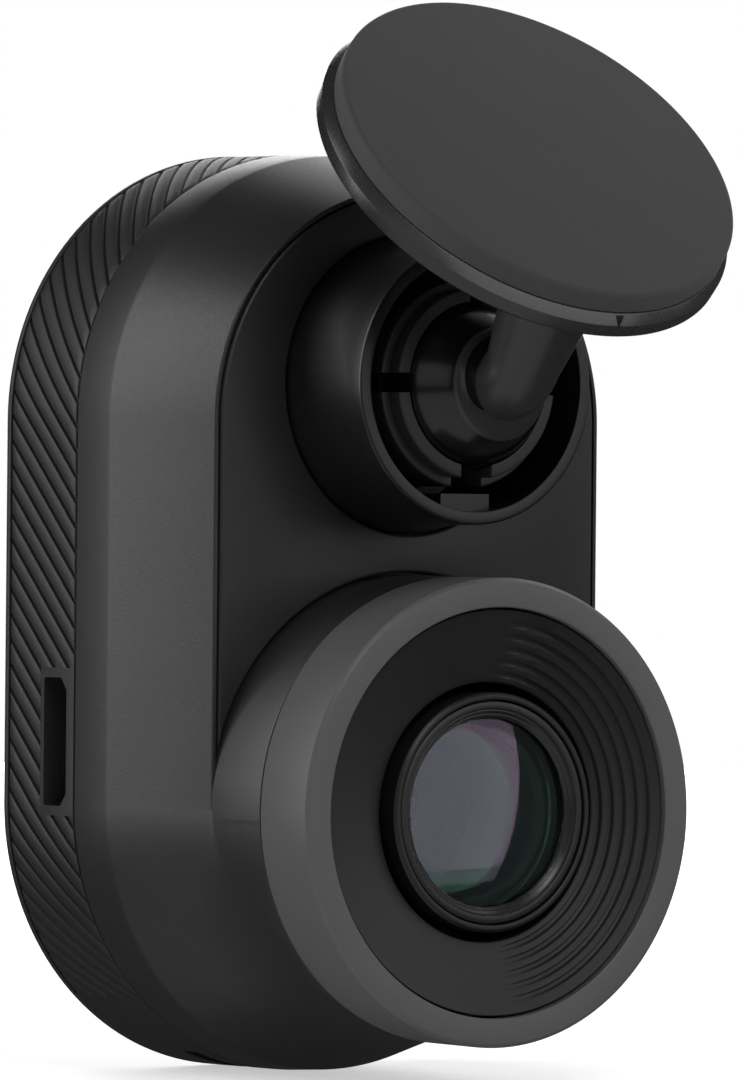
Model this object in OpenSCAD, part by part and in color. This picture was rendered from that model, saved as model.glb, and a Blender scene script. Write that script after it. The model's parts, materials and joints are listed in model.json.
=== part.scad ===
// Windscreen dash camera: a compact round-ended camera that hangs from an adhesive disc by a ball joint.
// +Z is up, the lens looks along -Y, and X is the width.
// The origin is the centre of the adhesive face, where the camera is stuck to the glass.
// Every module is drawn in the body's own frame (its middle, on the plane of the seam)
// and in_body() moves it to the origin.

/* [Body] */
// Width of the body at its back
body_w = 31.2; // [26:0.1:40]
// Height of the body
body_h = 53; // [48:0.5:66]
// Depth of the ribbed grip frame
grip_d = 6.8; // [6.4:0.1:10]
// Depth of the straight band in front of the seam
band_d = 3.2; // [1:0.1:4]
// Depth of the tapered side wall
taper_d = 7.5; // [6:0.1:11]
// How far each side draws in from the back to the front face
front_draw = 2.4; // [2.3:0.1:4.6]
// How far each side of the grip frame draws in towards the seam
grip_draft = 0.1; // [0:0.05:0.3]
// Wall thickness of the housings
wall = 1.4; // [1:0.1:1.8]
// Thickness of the decorative front panel
panel_t = 0.7; // [0.5:0.1:1]
// Width of the lip around the front panel
lip_w = 0.25; // [0.2:0.05:0.5]
// Thickness of the back cover
cover_t = 1.2; // [0.8:0.1:1.6]
// Depth of the back cover at its edge
cover_edge = 0.5; // [0.4:0.1:1]
// How far the back cover crowns behind its edge
cover_crown = 1.6; // [1.2:0.1:3]

/* [Lens] */
// Diameter of the lens barrel where it leaves the front
barrel_d = 26.4; // [24:0.1:26.6]
// Length of the lens barrel
barrel_len = 4.5; // [3:0.1:8]
// Diameter of the lens ring
ring_d = 26.2; // [24:0.1:26.4]
// Length of the lens ring
ring_len = 4.6; // [4:0.1:7]
// Width of the flat face of the lens ring
ring_face = 1.65; // [1:0.05:2.2]
// Gap between the ribbed disc and the lens tube
eye_gap = 0.55; // [0.4:0.05:1.2]
// How far the ribbed disc dishes in towards its opening
dish = 1.1; // [0.4:0.1:1.6]
// Number of grooves in the ribbed disc
groove_n = 5; // [3:1:6]
// Diameter of the lens tube
tube_d = 13.4; // [12.8:0.1:14]
// Diameter of the front lens
glass_d = 11.1; // [9:0.1:11.6]
// Radius of the front of the front lens
glass_r = 16; // [10:1:40]

/* [Ball socket] */
// Height of the socket above the middle of the body
socket_z = 13; // [11.5:0.1:14]
// Outer diameter of the socket's rim
rim_d = 15.8; // [15.4:0.1:17]
// Bore of the socket
socket_bore = 14.3; // [13.8:0.1:14.9]
// Diameter of the socket's foot on the front panel
foot_d = 16.8; // [16:0.1:17.6]
// How far the socket stands out from the front panel
socket_len = 6.4; // [6:0.1:9]
// Diameter of the ball
ball_d = 9.7; // [9:0.1:10]
// Depth of the ball's centre behind the socket's rim
ball_depth = 1.6; // [1:0.1:2.2]
// How far the collet's lip stands out round the ball
collet_lip = 0.5; // [0.4:0.05:0.7]
// How far the collet's cup stands out round the ball
collet_wall = 1; // [0.8:0.05:1.2]
// Width of the three narrow slots in the collet
slot_w = 1.1; // [0.6:0.1:1.6]
// Width of the bottom slot in the collet
key_slot_w = 2.1; // [1.4:0.1:3]

/* [Windscreen mount] */
// Diameter of the neck and of the rounded foot of the stem
neck_d = 4.2; // [3:0.1:5]
// Reach of the neck from the ball's centre to the elbow
neck_len = 5.3; // [4.8:0.1:7]
// Length of the tapered stem
stem_len = 8; // [6:0.1:12]
// Diameter of the stem where it meets the plate
stem_d = 6.8; // [5:0.1:8]
// Angle of the stem above the horizontal
stem_rise = 57; // [50:1:70]
// Angle of the adhesive face's normal above the horizontal
face_rise = 45; // [30:1:60]
// Distance from the plate's centre down to the stem
stem_offset = 6.1; // [0:0.1:7]
// Diameter of the mount plate
plate_d = 24.8; // [22:0.1:30]
// Depth of the plate's straight edge
plate_edge = 1.07; // [0.8:0.01:2]
// Depth of the plate's chamfer
plate_bevel = 0.6; // [0.3:0.05:1]
// Diameter of the adhesive pad
pad_d = 23.9; // [18:0.1:24]
// Thickness of the adhesive pad
pad_t = 1.3; // [0.8:0.1:2]

/* [Controls and sockets] */
// Length of the action button
button_l = 10; // [8:0.5:12]
// Width of the action button
button_w = 5; // [4:0.5:6]
// Height of the button above the middle of the body
button_z = 11.5; // [8:0.5:14]
// Travel of the action button
button_travel = 0.35; // [0.2:0.05:0.5]
// Length of the power socket's opening
usb_l = 7.3; // [7:0.1:8]
// Width of the power socket's opening
usb_w = 2.3; // [2.1:0.1:2.6]
// Height of the power socket above the foot of the body's straight side
usb_rise = 3.5; // [3.3:0.1:7]
// Width of the memory card
card_w = 11; // [10.8:0.1:11.2]
// Length of the memory card
card_l = 15; // [14.8:0.1:15.2]
// Thickness of the memory card
card_t = 1; // [0.9:0.1:1.2]

/* [Hidden] */
$fn = 72;

// Clearances
fit = 0.05;
eps = 0.01;

// Outline of the body: two half circles joined by straight sides
straight = (body_h - body_w) / 2;
back_r = body_w / 2;
seam_r = back_r - grip_draft;
crease_r = seam_r - 0.2;
front_r = back_r - front_draw;

// Planes across the depth; the seam is at zero and the front is negative
seam_gap = 0.05;
crease_y = -band_d;
front_y = crease_y - taper_d;
panel_y = front_y - 0.1;
floor_y = panel_y + panel_t;
inner_y = floor_y + 1.3;
back_y = grip_d;
edge_y = back_y + cover_edge;
crown_y = edge_y + cover_crown;

// Lens assembly along its axis; the barrel's lowest point is level with the foot of the front face
barrel_r = barrel_d / 2;
lens_z = -(straight + front_r - barrel_r);
barrel_end_r = barrel_r - 0.12;
barrel_y = panel_y - barrel_len;
bore_r = barrel_end_r - wall;
ring_r = ring_d / 2;
ring_y = barrel_y - ring_len;
ring_in_r = ring_r - ring_face;
ring_bore_r = ring_in_r - 1.05;
ring_gap = 0.06;
spigot_len = 1.9;
disc_r = ring_in_r - 0.12;
disc_edge_y = ring_y + 0.3;
disc_in_y = disc_edge_y + dish;
disc_back_y = disc_in_y + 1;
tube_r = tube_d / 2;
eye_r = tube_r + eye_gap;
tube_y = ring_y + 0.7;
tube_step_y = inner_y - 4.3;
tube_back_y = inner_y + 4.3;
thread_r = tube_r - 0.7;
glass_rim_r = glass_d / 2;
glass_edge_y = tube_y + 0.75;
glass_t = 1.3;
cell_wall = 0.1;
rear_glass_r = glass_rim_r - 1.65;
stop_y = inner_y - 1.5;
holder_y = inner_y + 0.05;
holder_flange_r = 11.1;
holder_w = 15;
opening_r = holder_w / 2 + 0.5;

// Boards
board_t = 1;
board_front_y = 3.3;
board_y = board_front_y + board_t;
board_r = seam_r - wall - 0.6;
sensor_board_t = 0.8;
sensor_front_y = -2.4;
sensor_board_w = 16;

// Screws: M1.6 self-tapping, in posts moulded inside the front housing
screw_r = 0.8;
head_r = 1.4;
head_h = 0.7;
post_r = 1.7;
pilot_r = screw_r + fit;
post_y = inner_y + 1.8;
post_top_y = board_front_y - 0.02;
side_post = [seam_r - wall - 2.1, 4.5];
low_ring = side_post[0] + 0.04;
low_post = [low_ring * cos(41.63), -straight - low_ring * sin(41.63)];
case_posts = [for (side = [-1, 1]) for (p = [side_post, low_post]) [side * p[0], p[1]]];
top_ring = seam_r - wall - post_r - 0.05;
top_post = [top_ring * cos(49.6), straight + top_ring * sin(49.6)];
board_posts = [[-top_post[0], top_post[1]], top_post, [side_post[0] - 0.3, lens_z - 0.1]];
flange_t = 0.75;
flange_y = back_y - 0.9;
flange_r = back_r - 3;
spigot_r = back_r - 1.3;
lens_screws_at = [for (a = [30, 150, 270]) [9.6 * cos(a), lens_z + 9.6 * sin(a)]];

// Ball joint
rim_y = panel_y - socket_len;
ball_r = ball_d / 2;
ball_y = rim_y + ball_depth;
cup_r = ball_r + 0.08;
lip_r = ball_r + collet_lip;
cup_wall_r = ball_r + collet_wall;
collet_y = rim_y - 0.05;
shoulder_y = collet_y + 1;
collet_back_y = ball_y + cup_r + 0.9;
socket_floor_y = collet_back_y + 0.3;
pivot_r = 2;
pivot_y = socket_floor_y + 0.9;
key_w = 3.3;
key_y = shoulder_y + 0.1;
foot_r = foot_d / 2;
socket_flange_r = foot_r + 1.2;
socket_flange_t = 1.2;
socket_back_y = inner_y + fit + socket_flange_t;
ear_r = 1.8;
taper = (crease_r - front_r) / taper_d;
inner_front_r = front_r + taper * (inner_y - front_y) - wall;
ear_ring = socket_flange_r + 2 - wall;
ears_at = [for (a = [0, 180, 225, 315]) [ear_ring * cos(a), socket_z + ear_ring * sin(a)]];

// Windscreen mount, worked out from the ball's centre
elbow_y = ball_y - neck_len;
stem_end_y = elbow_y - stem_len * cos(stem_rise);
stem_end_z = socket_z + stem_len * sin(stem_rise);
plate_y = stem_end_y + stem_offset * sin(face_rise);
plate_z = stem_end_z + stem_offset * cos(face_rise);
mount_t = plate_edge + plate_bevel + pad_t;
face_y = plate_y - mount_t * cos(face_rise);
face_z = plate_z + mount_t * sin(face_rise);
pad_r = pad_d / 2;
plate_r = plate_d / 2;

// Power socket on the left side
usb_y = 1.95;
usb_z = usb_rise - straight;
usb_shell_l = usb_l + 0.2;
usb_shell_w = usb_w + 0.2;
usb_mouth_x = -seam_r + wall + 0.2;
usb_depth = 5.4;

// Memory card, which slides out through the bottom of the grip frame
card_front_y = 2.05;
card_mid_y = card_front_y + card_t / 2;
card_low_z = -body_h / 2 + 1.3;
card_top_z = card_low_z + card_l;
card_push = 0.8;
card_socket_low_z = -body_h / 2 + wall + 2.1;
card_socket_top_z = card_top_z + card_push + 0.4;
card_gap = 0.1;
card_slot_gap = 0.25;

// Action button in the back cover
button_gap = 0.15;
button_flange = 0.8;
button_under_y = crown_y - cover_t - button_flange - 0.5;
button_top_y = crown_y + 0.35;
switch_top_y = button_under_y - button_travel - 0.3;
plunger_r = 0.9;
plunger_well_y = board_y + 0.3;
plunger_y = plunger_well_y + button_travel + 0.1;
led_z = button_z + 7;
pipe_r = 0.8;
mic_at = [7.5, 1];
speaker_z = -9;
speaker_r = 5.5;

module in_body() {
    translate([0, -face_y, -face_z]) children();
}

// A flat outline drawn in X and Z, as thick as from y0 to y1
module slab(y0, y1) {
    translate([0, y1, 0]) rotate([90, 0, 0]) linear_extrude(height = y1 - y0) children();
}

// A profile of radius and Y, turned about an axis along Y at the height z
module turned(z) {
    translate([0, 0, z]) rotate([-90, 0, 0]) rotate_extrude() children();
}

// A round bar along Y
module bar(r, y0, y1, x = 0, z = 0) {
    translate([x, y0, z]) rotate([-90, 0, 0]) cylinder(r = r, h = y1 - y0);
}

// The body's outline
module pill(r, half = straight) {
    translate([0, half]) circle(r);
    translate([0, -half]) circle(r);
    square([2 * r, 2 * half], center = true);
}

// A profile of radius and Y carried all round the body's outline
module around(half = straight) {
    rotate([-90, 0, 0]) {
        translate([0, half, 0]) rotate_extrude(angle = 180) children();
        translate([0, -half, 0]) rotate([0, 0, 180]) rotate_extrude(angle = 180) children();
        rotate([90, 0, 0]) linear_extrude(height = 2 * half, center = true) {
            children();
            mirror([1, 0]) children();
        }
    }
}

// A block given by its lowest and highest corners
module block(lo, hi) {
    translate(lo) cube(hi - lo);
}

// A self-tapping screw whose head rests at y and whose point is towards -Y
module screw(x, y, z, len) {
    difference() {
        union() {
            bar(head_r, y, y + head_h, x, z);
            bar(screw_r, y - len, y + eps, x, z);
        }
        block([x - 0.9, y + 0.35, z - 0.15], [x + 0.9, y + 1, z + 0.15]);
        block([x - 0.15, y + 0.35, z - 0.9], [x + 0.15, y + 1, z + 0.9]);
    }
}

// Frame of the adhesive face: its normal is the local Z, and the local Y points up the glass
module on_glass() {
    rotate([90 - face_rise, 0, 0]) children();
}

module adhesive_pad() {
    edge = 0.3;
    color("#404040") on_glass() translate([0, 0, -pad_t]) rotate_extrude() {
        square([pad_r - edge, pad_t]);
        square([pad_r, pad_t - edge]);
        translate([pad_r - edge, pad_t - edge]) circle(edge, $fn = 32);
    }
}

module mount_plate() {
    depth = plate_edge + plate_bevel;
    notch = 0.75;
    color("#2e2e2e") on_glass() translate([0, 0, -pad_t - depth]) difference() {
        rotate_extrude() polygon([
            [0, 0], [plate_r - 0.35, 0], [plate_r, 0.3], [plate_r, plate_edge],
            [pad_r + 0.05, depth], [0, depth]
        ]);
        // Alignment notch at the lowest point of the chamfer
        translate([0, -plate_r + 0.35, depth]) rotate([90, 0, 0])
            linear_extrude(height = 1) polygon([
                [-notch / 2, 0.1], [notch / 2, 0.1], [0, -notch]
            ]);
    }
}

module ball_stem() {
    foot_r = neck_d / 2;
    flare = 1.1;
    color("#303030") in_body() difference() {
        union() {
            // Neck, flared where it meets the ball
            translate([0, ball_y, socket_z]) rotate([90, 0, 0]) {
                cylinder(r = foot_r, h = neck_len);
                cylinder(r1 = foot_r + flare, r2 = foot_r, h = ball_r + flare);
            }
            translate([0, elbow_y, socket_z]) sphere(foot_r);
            translate([0, elbow_y, socket_z]) rotate([90 - stem_rise, 0, 0])
                cylinder(r1 = foot_r, r2 = stem_d / 2, h = stem_len + 3);
        }
        // Spherical seat for the ball
        translate([0, ball_y, socket_z]) sphere(ball_r + 0.06, $fn = 96);
        // Flat end against the plate
        translate([0, face_y, face_z]) on_glass()
            translate([-20, -20, -mount_t]) cube([40, 40, 20]);
    }
}

module ball() {
    color("#141414") in_body() translate([0, ball_y, socket_z]) sphere(ball_r, $fn = 96);
}

module collet() {
    slot_end_y = ball_y + 2.6;
    color("#3c3c3c") in_body() difference() {
        // Spherical cup, cut by the lip a little in front of the ball's centre
        turned(socket_z) difference() {
            polygon([
                [0, collet_y], [lip_r, collet_y], [lip_r, shoulder_y], [cup_wall_r, shoulder_y],
                [cup_wall_r, collet_back_y], [pivot_r, collet_back_y], [pivot_r, pivot_y - 0.1],
                [0, pivot_y - 0.1]
            ]);
            translate([0, ball_y]) circle(cup_r, $fn = 96);
        }
        // Slots that let the fingers spread as the ball snaps in
        for (side = [-1, 1])
            block([side * 7 - 4, collet_y - 1, socket_z - slot_w / 2],
                  [side * 7 + 4, slot_end_y, socket_z + slot_w / 2]);
        block([-slot_w / 2, collet_y - 1, socket_z + 3], [slot_w / 2, slot_end_y, socket_z + 11]);
        block([-key_slot_w / 2, collet_y - 1, socket_z - 11],
              [key_slot_w / 2, slot_end_y, socket_z - 3]);
    }
}

module ball_socket() {
    bore = socket_bore / 2;
    rim_r = rim_d / 2;
    swell = foot_r - rim_r;
    color("#262626") in_body() difference() {
        union() {
            turned(socket_z) polygon([
                [0, socket_floor_y], [bore, socket_floor_y], [bore, rim_y], [rim_r, rim_y],
                [rim_r + swell * 0.08, rim_y + socket_len * 0.4],
                [rim_r + swell * 0.22, rim_y + socket_len * 0.62],
                [rim_r + swell * 0.45, rim_y + socket_len * 0.8],
                [rim_r + swell * 0.8, rim_y + socket_len * 0.95],
                [foot_r, panel_y], [foot_r, inner_y + fit], [socket_flange_r, inner_y + fit],
                [socket_flange_r, socket_back_y], [0, socket_back_y]
            ]);
            // Ears for the screws
            slab(inner_y + fit, socket_back_y) for (p = ears_at) {
                translate(p) circle(ear_r);
                translate([0, socket_z]) rotate(atan2(p[1] - socket_z, p[0]))
                    translate([socket_flange_r - 1.5, -ear_r])
                        square([ear_ring - socket_flange_r + 1.5, 2 * ear_r]);
            }
            // Key at the bottom of the bore
            intersection() {
                block([-key_w / 2, key_y, socket_z - bore - 0.3],
                      [key_w / 2, socket_floor_y + 0.1, socket_z - cup_wall_r - 0.3]);
                bar(bore + 0.2, key_y, socket_floor_y + 0.1, 0, socket_z);
            }
        }
        bar(pivot_r + fit, socket_floor_y - 1, pivot_y, 0, socket_z);
        for (p = ears_at) bar(pilot_r, inner_y - 1, socket_back_y + 1, p[0], p[1]);
    }
}

module socket_screws() {
    color("silver") in_body() for (p = ears_at)
        screw(p[0], socket_back_y + 0.02, p[1], socket_flange_t + 1.1);
}

// Profile of the front housing's wall, with the front wall that closes it
module shell_profile() {
    polygon([
        [0, floor_y], [front_r - lip_w, floor_y], [front_r - lip_w, front_y], [front_r, front_y],
        [crease_r, crease_y], [seam_r, -seam_gap], [seam_r - wall, -seam_gap],
        [crease_r - wall, crease_y], [inner_front_r, inner_y], [0, inner_y]
    ]);
}

module front_housing() {
    tongue_r = seam_r - wall + 0.05;
    color("#484848") in_body() difference() {
        union() {
            around() shell_profile();
            // Tongue that lines up the two housings
            around() polygon([
                [tongue_r - 0.8, -1.6], [tongue_r + 0.1, -1.6], [tongue_r + 0.1, -seam_gap - 0.2],
                [tongue_r - 0.1, 0.1], [tongue_r - 0.1, 1.1], [tongue_r - 0.8, 1.1]
            ]);
            // Lens barrel
            turned(lens_z) polygon([
                [bore_r, barrel_y], [barrel_end_r, barrel_y], [barrel_r - 0.01, front_y],
                [barrel_r - 0.3, floor_y + 0.1], [bore_r, floor_y + 0.1]
            ]);
            for (p = concat(case_posts, board_posts)) bar(post_r, post_y, post_top_y, p[0], p[1]);
            for (p = lens_screws_at) bar(post_r - 0.2, floor_y - 2.4, inner_y, p[0], p[1]);
            for (p = ears_at) bar(post_r - 0.2, floor_y, inner_y, p[0], p[1]);
        }
        bar(opening_r, barrel_y, inner_y + 1, 0, lens_z);
        bar(foot_r + fit, floor_y - 1, inner_y + 1, 0, socket_z);
        for (p = case_posts) bar(pilot_r, post_y + 2, post_top_y + 1, p[0], p[1]);
        for (p = board_posts) bar(pilot_r, post_y + 4, post_top_y + 1, p[0], p[1]);
        for (p = lens_screws_at) bar(pilot_r, floor_y - 1.9, inner_y + 1, p[0], p[1]);
        for (p = ears_at) bar(pilot_r, floor_y + 0.1, inner_y + 1, p[0], p[1]);
        // Room for the power socket behind the tongue
        block([-seam_r + wall * 0.5, 0.4, usb_z - usb_l / 2 - 0.5],
              [-seam_r + 4, 2, usb_z + usb_l / 2 + 0.5]);
    }
}

module front_panel() {
    panel_r = front_r - lip_w - 0.1;
    edge = 0.2;
    color("#303030") in_body() difference() {
        union() {
            slab(panel_y + edge, floor_y - 0.03) pill(panel_r);
            slab(panel_y, panel_y + edge + eps) pill(panel_r - edge);
        }
        bar(foot_r + 0.08, panel_y - 1, floor_y + 1, 0, socket_z);
        bar(barrel_r + 0.08, panel_y - 1, floor_y + 1, 0, lens_z);
        // The panel ends where the barrel meets the side walls
        block([-body_w, panel_y - 1, -body_h], [body_w, floor_y + 1, lens_z]);
    }
}

module rear_housing() {
    inner_r = seam_r - wall;
    color("#333333") in_body() difference() {
        union() {
            around() polygon([
                [seam_r, seam_gap], [back_r, back_y], [spigot_r + 0.1, back_y],
                [spigot_r + 0.1, flange_y], [flange_r, flange_y], [flange_r, flange_y - flange_t],
                [inner_r + 0.15, flange_y - flange_t], [inner_r + 0.05, 0.5], [inner_r + 0.05, seam_gap]
            ]);
            for (p = case_posts) bar(post_r + 0.2, board_front_y + 0.05, flange_y, p[0], p[1]);
        }
        for (p = case_posts) bar(pilot_r, 0, flange_y + 1, p[0], p[1]);
        // Power socket opening
        translate([-seam_r - 1, 0, 0]) rotate([90, 0, 90]) linear_extrude(height = 4)
            translate([usb_y, usb_z]) usb_outline(usb_l, usb_w);
        // Memory card slot, with a finger notch
        block([-card_w / 2 - card_slot_gap, card_front_y - card_slot_gap, -body_h / 2 - 1],
              [card_w / 2 + card_slot_gap, card_front_y + card_t + card_slot_gap, -body_h / 2 + 4]);
        translate([0, card_mid_y, -body_h / 2 - 1.2]) rotate([-90, 0, 0]) cylinder(r = 2.2, h = 1.9);
    }
}

// Outline of a micro power socket: its front corners are cut off
module usb_outline(l, w) {
    cut = 0.7;
    polygon([
        [-w / 2, -l / 2 + cut], [-w / 2 + cut * 0.8, -l / 2], [w / 2 - 0.2, -l / 2],
        [w / 2, -l / 2 + 0.2], [w / 2, l / 2 - 0.2], [w / 2 - 0.2, l / 2],
        [-w / 2 + cut * 0.8, l / 2], [-w / 2, l / 2 - cut]
    ]);
}

// The back cover's crowned section between its face and one inset inside it
module crown_profile(r, inset) {
    sweep_r = (back_r * back_r + cover_crown * cover_crown) / (2 * cover_crown);
    intersection() {
        translate([0, crown_y - sweep_r]) circle(sweep_r - inset, $fn = 720);
        translate([0, back_y + 0.03]) square([r, 20]);
    }
}

module button_outline(grow) {
    half = (button_l - button_w) / 2;
    r = button_w / 2 + grow;
    translate([0, button_z]) {
        translate([-half, 0]) circle(r);
        translate([half, 0]) circle(r);
        square([2 * half, 2 * r], center = true);
    }
}

module back_cover() {
    grille_n = 5;
    grille_pitch = 1.6;
    color("#3a3a3a") in_body() difference() {
        union() {
            around() difference() {
                crown_profile(back_r, 0);
                crown_profile(spigot_r - 0.9, cover_t);
            }
            around() translate([spigot_r - 0.8, flange_y + 0.1]) square([0.8, 1.3]);
        }
        slab(back_y - 2, crown_y + 1) button_outline(button_gap);
        bar(pipe_r + fit, back_y - 2, crown_y + 1, 0, led_z);
        bar(0.4, back_y - 2, crown_y + 1, mic_at[0], mic_at[1]);
        for (k = [0 : grille_n - 1])
            slab(back_y - 2, crown_y + 1)
                translate([0, speaker_z + (k - (grille_n - 1) / 2) * grille_pitch]) {
                    square([5, 0.7], center = true);
                    for (side = [-2.5, 2.5]) translate([side, 0]) circle(0.35, $fn = 32);
                }
    }
}

module housing_screws() {
    color("silver") in_body() for (p = case_posts) screw(p[0], flange_y + 0.02, p[1], 6);
}

module lens_ring() {
    bevel = 0.2;
    color("#565656") in_body() turned(lens_z) polygon([
        [ring_in_r, ring_y], [ring_r - bevel, ring_y], [ring_r, ring_y + bevel],
        [ring_r, barrel_y - ring_gap], [bore_r - fit, barrel_y - ring_gap],
        [bore_r - fit, barrel_y + spigot_len], [ring_bore_r, barrel_y + spigot_len],
        [ring_bore_r, disc_back_y + 0.02], [ring_in_r, disc_back_y + 0.02]
    ]);
}

module ribbed_disc() {
    groove_w = 0.4;
    depth = 0.25;
    span = disc_r - eye_r;
    first = disc_r - span * 0.1944;
    step = span * 0.1722;
    fall = dish / span;
    sweep = 140;
    color("#303030") in_body() difference() {
        turned(lens_z) polygon([
            [eye_r, disc_in_y], [disc_r, disc_edge_y], [disc_r, disc_back_y], [eye_r, disc_back_y]
        ]);
        // Grooves on the right-hand side only
        for (k = [0 : groove_n - 1]) {
            r = first - k * step;
            surface_y = disc_edge_y + (disc_r - r) * fall;
            translate([0, surface_y, lens_z]) rotate([-90, 0, 0]) rotate([0, 0, -sweep / 2])
                rotate_extrude(angle = sweep) polygon([
                    [r - groove_w / 2, -1], [r + groove_w / 2, -1],
                    [r + groove_w * 0.3, depth], [r - groove_w * 0.3, depth]
                ]);
        }
    }
}

module lens_tube() {
    seat_r = glass_rim_r + cell_wall;
    color("#1c1c1c") in_body() turned(lens_z) polygon([
        [seat_r + 0.65, tube_y], [tube_r - 0.15, tube_y], [tube_r, tube_y + 0.15],
        [tube_r, tube_step_y], [thread_r, tube_step_y], [thread_r, tube_back_y],
        [rear_glass_r - 0.4, tube_back_y], [rear_glass_r - 0.4, tube_back_y - 0.8],
        [rear_glass_r + cell_wall, tube_back_y - 0.8], [rear_glass_r + cell_wall, stop_y + 0.35],
        [seat_r - 1, stop_y + 0.35], [seat_r - 1, glass_edge_y + 3.2],
        [seat_r, glass_edge_y + 3.2], [seat_r, glass_edge_y], [seat_r + 0.65, glass_edge_y]
    ]);
}

module lens_retainer() {
    seat_r = glass_rim_r + cell_wall;
    color("#2a2a2a") in_body() turned(lens_z) polygon([
        [seat_r - 0.35, glass_edge_y - 0.2], [seat_r - 0.05, tube_y + 0.12], [seat_r + 0.55, tube_y + 0.12],
        [seat_r + 0.55, glass_edge_y - 0.02], [seat_r - 0.1, glass_edge_y - 0.02],
        [seat_r - 0.35, glass_edge_y - 0.12]
    ]);
}

// Section of a lens element: rim radius r, front and back planes of its rim,
// bulge of the front and hollow (or, when negative, bulge) of the back
module lens_section(r, y0, y1, front, back) {
    front_sweep = (r * r + front * front) / (2 * front);
    back_sweep = (r * r + back * back) / (2 * abs(back));
    difference() {
        union() {
            translate([0, y0]) square([r, y1 - y0]);
            intersection() {
                translate([0, y0 - front + front_sweep]) circle(front_sweep, $fn = 180);
                translate([0, y0 - front]) square([r, front + eps]);
            }
            if (back < 0) intersection() {
                translate([0, y1 - back - back_sweep]) circle(back_sweep, $fn = 180);
                translate([0, y1 - eps]) square([r, -back + eps]);
            }
        }
        if (back > 0) intersection() {
            translate([0, y1 - back + back_sweep]) circle(back_sweep, $fn = 180);
            translate([0, y1 - back - eps]) square([r, back + 2 * eps]);
        }
    }
}

module front_lens() {
    crown = glass_r - sqrt(glass_r * glass_r - glass_rim_r * glass_rim_r);
    color("#202830") in_body() turned(lens_z)
        lens_section(glass_rim_r, glass_edge_y + 0.02, glass_edge_y + glass_t, crown, 0.9);
}

module second_lens() {
    color("#28323a") in_body() turned(lens_z)
        lens_section(glass_rim_r, glass_edge_y + glass_t + 0.95, glass_edge_y + 3.15, 0.8, 0.6);
}

module aperture_stop() {
    r = rear_glass_r + 0.6;
    color("#101010") in_body() turned(lens_z)
        translate([1.6, stop_y]) square([r - 1.6, 0.3]);
}

module third_lens() {
    color("#28323a") in_body() turned(lens_z)
        lens_section(rear_glass_r, stop_y + 1.2, stop_y + 2.4, 0.7, -0.5);
}

module rear_lens() {
    color("#28323a") in_body() turned(lens_z)
        lens_section(rear_glass_r, stop_y + 3.5, stop_y + 4.6, 0.4, 0.3);
}

module ir_filter() {
    half = 3.5;
    color("#8098a0") in_body() translate([0, 0, lens_z])
        block([-half, tube_back_y + 0.6, -half], [half, tube_back_y + 0.9, half]);
}

module lens_holder() {
    half = holder_w / 2;
    inside = half - 1.3;
    front_tube_y = floor_y - 2;
    color("#1a1a1a") in_body() difference() {
        union() {
            bar(holder_flange_r, holder_y, holder_y + 1, 0, lens_z);
            bar(half, front_tube_y, holder_y + eps, 0, lens_z);
            slab(holder_y, sensor_front_y - 0.05) translate([0, lens_z]) intersection() {
                square(2 * half, center = true);
                circle(half * 1.25);
            }
        }
        bar(thread_r + fit, front_tube_y - 1, tube_back_y + 0.25, 0, lens_z);
        // Window in front of the sensor, with a seat for the filter
        translate([0, 0, lens_z]) {
            block([-3, tube_back_y, -3], [3, tube_back_y + 2, 3]);
            block([-inside, tube_back_y + 0.55, -inside], [inside, sensor_front_y + 1, inside]);
        }
        for (p = lens_screws_at) bar(pilot_r, holder_y - 1, holder_y + 9, p[0], p[1]);
        for (p = lens_screws_at) bar(head_r + 0.1, holder_y + 1, holder_y + 9, p[0], p[1]);
    }
}

module lens_screws() {
    color("silver") in_body() for (p = lens_screws_at) screw(p[0], holder_y + 1.02, p[1], 3.6);
}

module image_sensor() {
    color("#405048") in_body() translate([0, 0, lens_z])
        block([-3.6, sensor_front_y - 0.92, -3], [3.6, sensor_front_y - 0.02, 3]);
}

module sensor_board() {
    half = sensor_board_w / 2;
    color("#1e5a32") in_body() slab(sensor_front_y, sensor_front_y + sensor_board_t)
        translate([0, lens_z]) intersection() {
            square(2 * half, center = true);
            circle(half * 1.22);
        }
}

module sensor_cable() {
    t = 0.15;
    y0 = sensor_front_y + sensor_board_t + 0.02;
    z0 = card_socket_top_z + 0.6;
    color("#a06a20") in_body() translate([2.5, 0, 0]) rotate([90, 0, -90]) linear_extrude(height = 5)
        mirror([1, 0]) polygon([
            [y0, z0 - 1.6], [y0 + t, z0 - 1.6], [y0 + t, z0], [board_front_y - 0.02, z0],
            [board_front_y - 0.02, z0 + 0.8], [board_front_y - 0.02 - t, z0 + 0.8],
            [board_front_y - 0.02 - t, z0 + t], [y0, z0 + t]
        ]);
}

module main_board() {
    color("#1e5a32") in_body() slab(board_front_y, board_y) difference() {
        pill(board_r);
        for (p = case_posts) translate(p) circle(post_r + 0.5);
        for (p = board_posts) translate(p) circle(pilot_r);
    }
}

module board_screws() {
    color("silver") in_body() for (p = board_posts) screw(p[0], board_y + 0.02, p[1], 4.5);
}

module shield_can() {
    t = 0.2;
    lo = [-7, board_front_y - 1.6, card_socket_top_z + 2];
    hi = [7, board_front_y - 0.02, 6];
    color("#b0b0b0") in_body() difference() {
        block(lo, hi);
        block(lo + [t, t, t], hi + [-t, 1, -t]);
    }
}

module thermal_pad() {
    color("#9fb6c8") in_body()
        block([-6, board_front_y - 2.3, -5], [6, board_front_y - 1.62, 5]);
}

module heat_spreader() {
    y1 = board_front_y - 2.32;
    half = seam_r - wall - usb_depth - 0.5;
    color("#c0c0c0") in_body() {
        block([-half, y1 - 0.7, -6.6], [half, y1, 7]);
        block([-half, y1 - 3, 6.3], [half, y1 - 0.7, 7]);
    }
}

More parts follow.
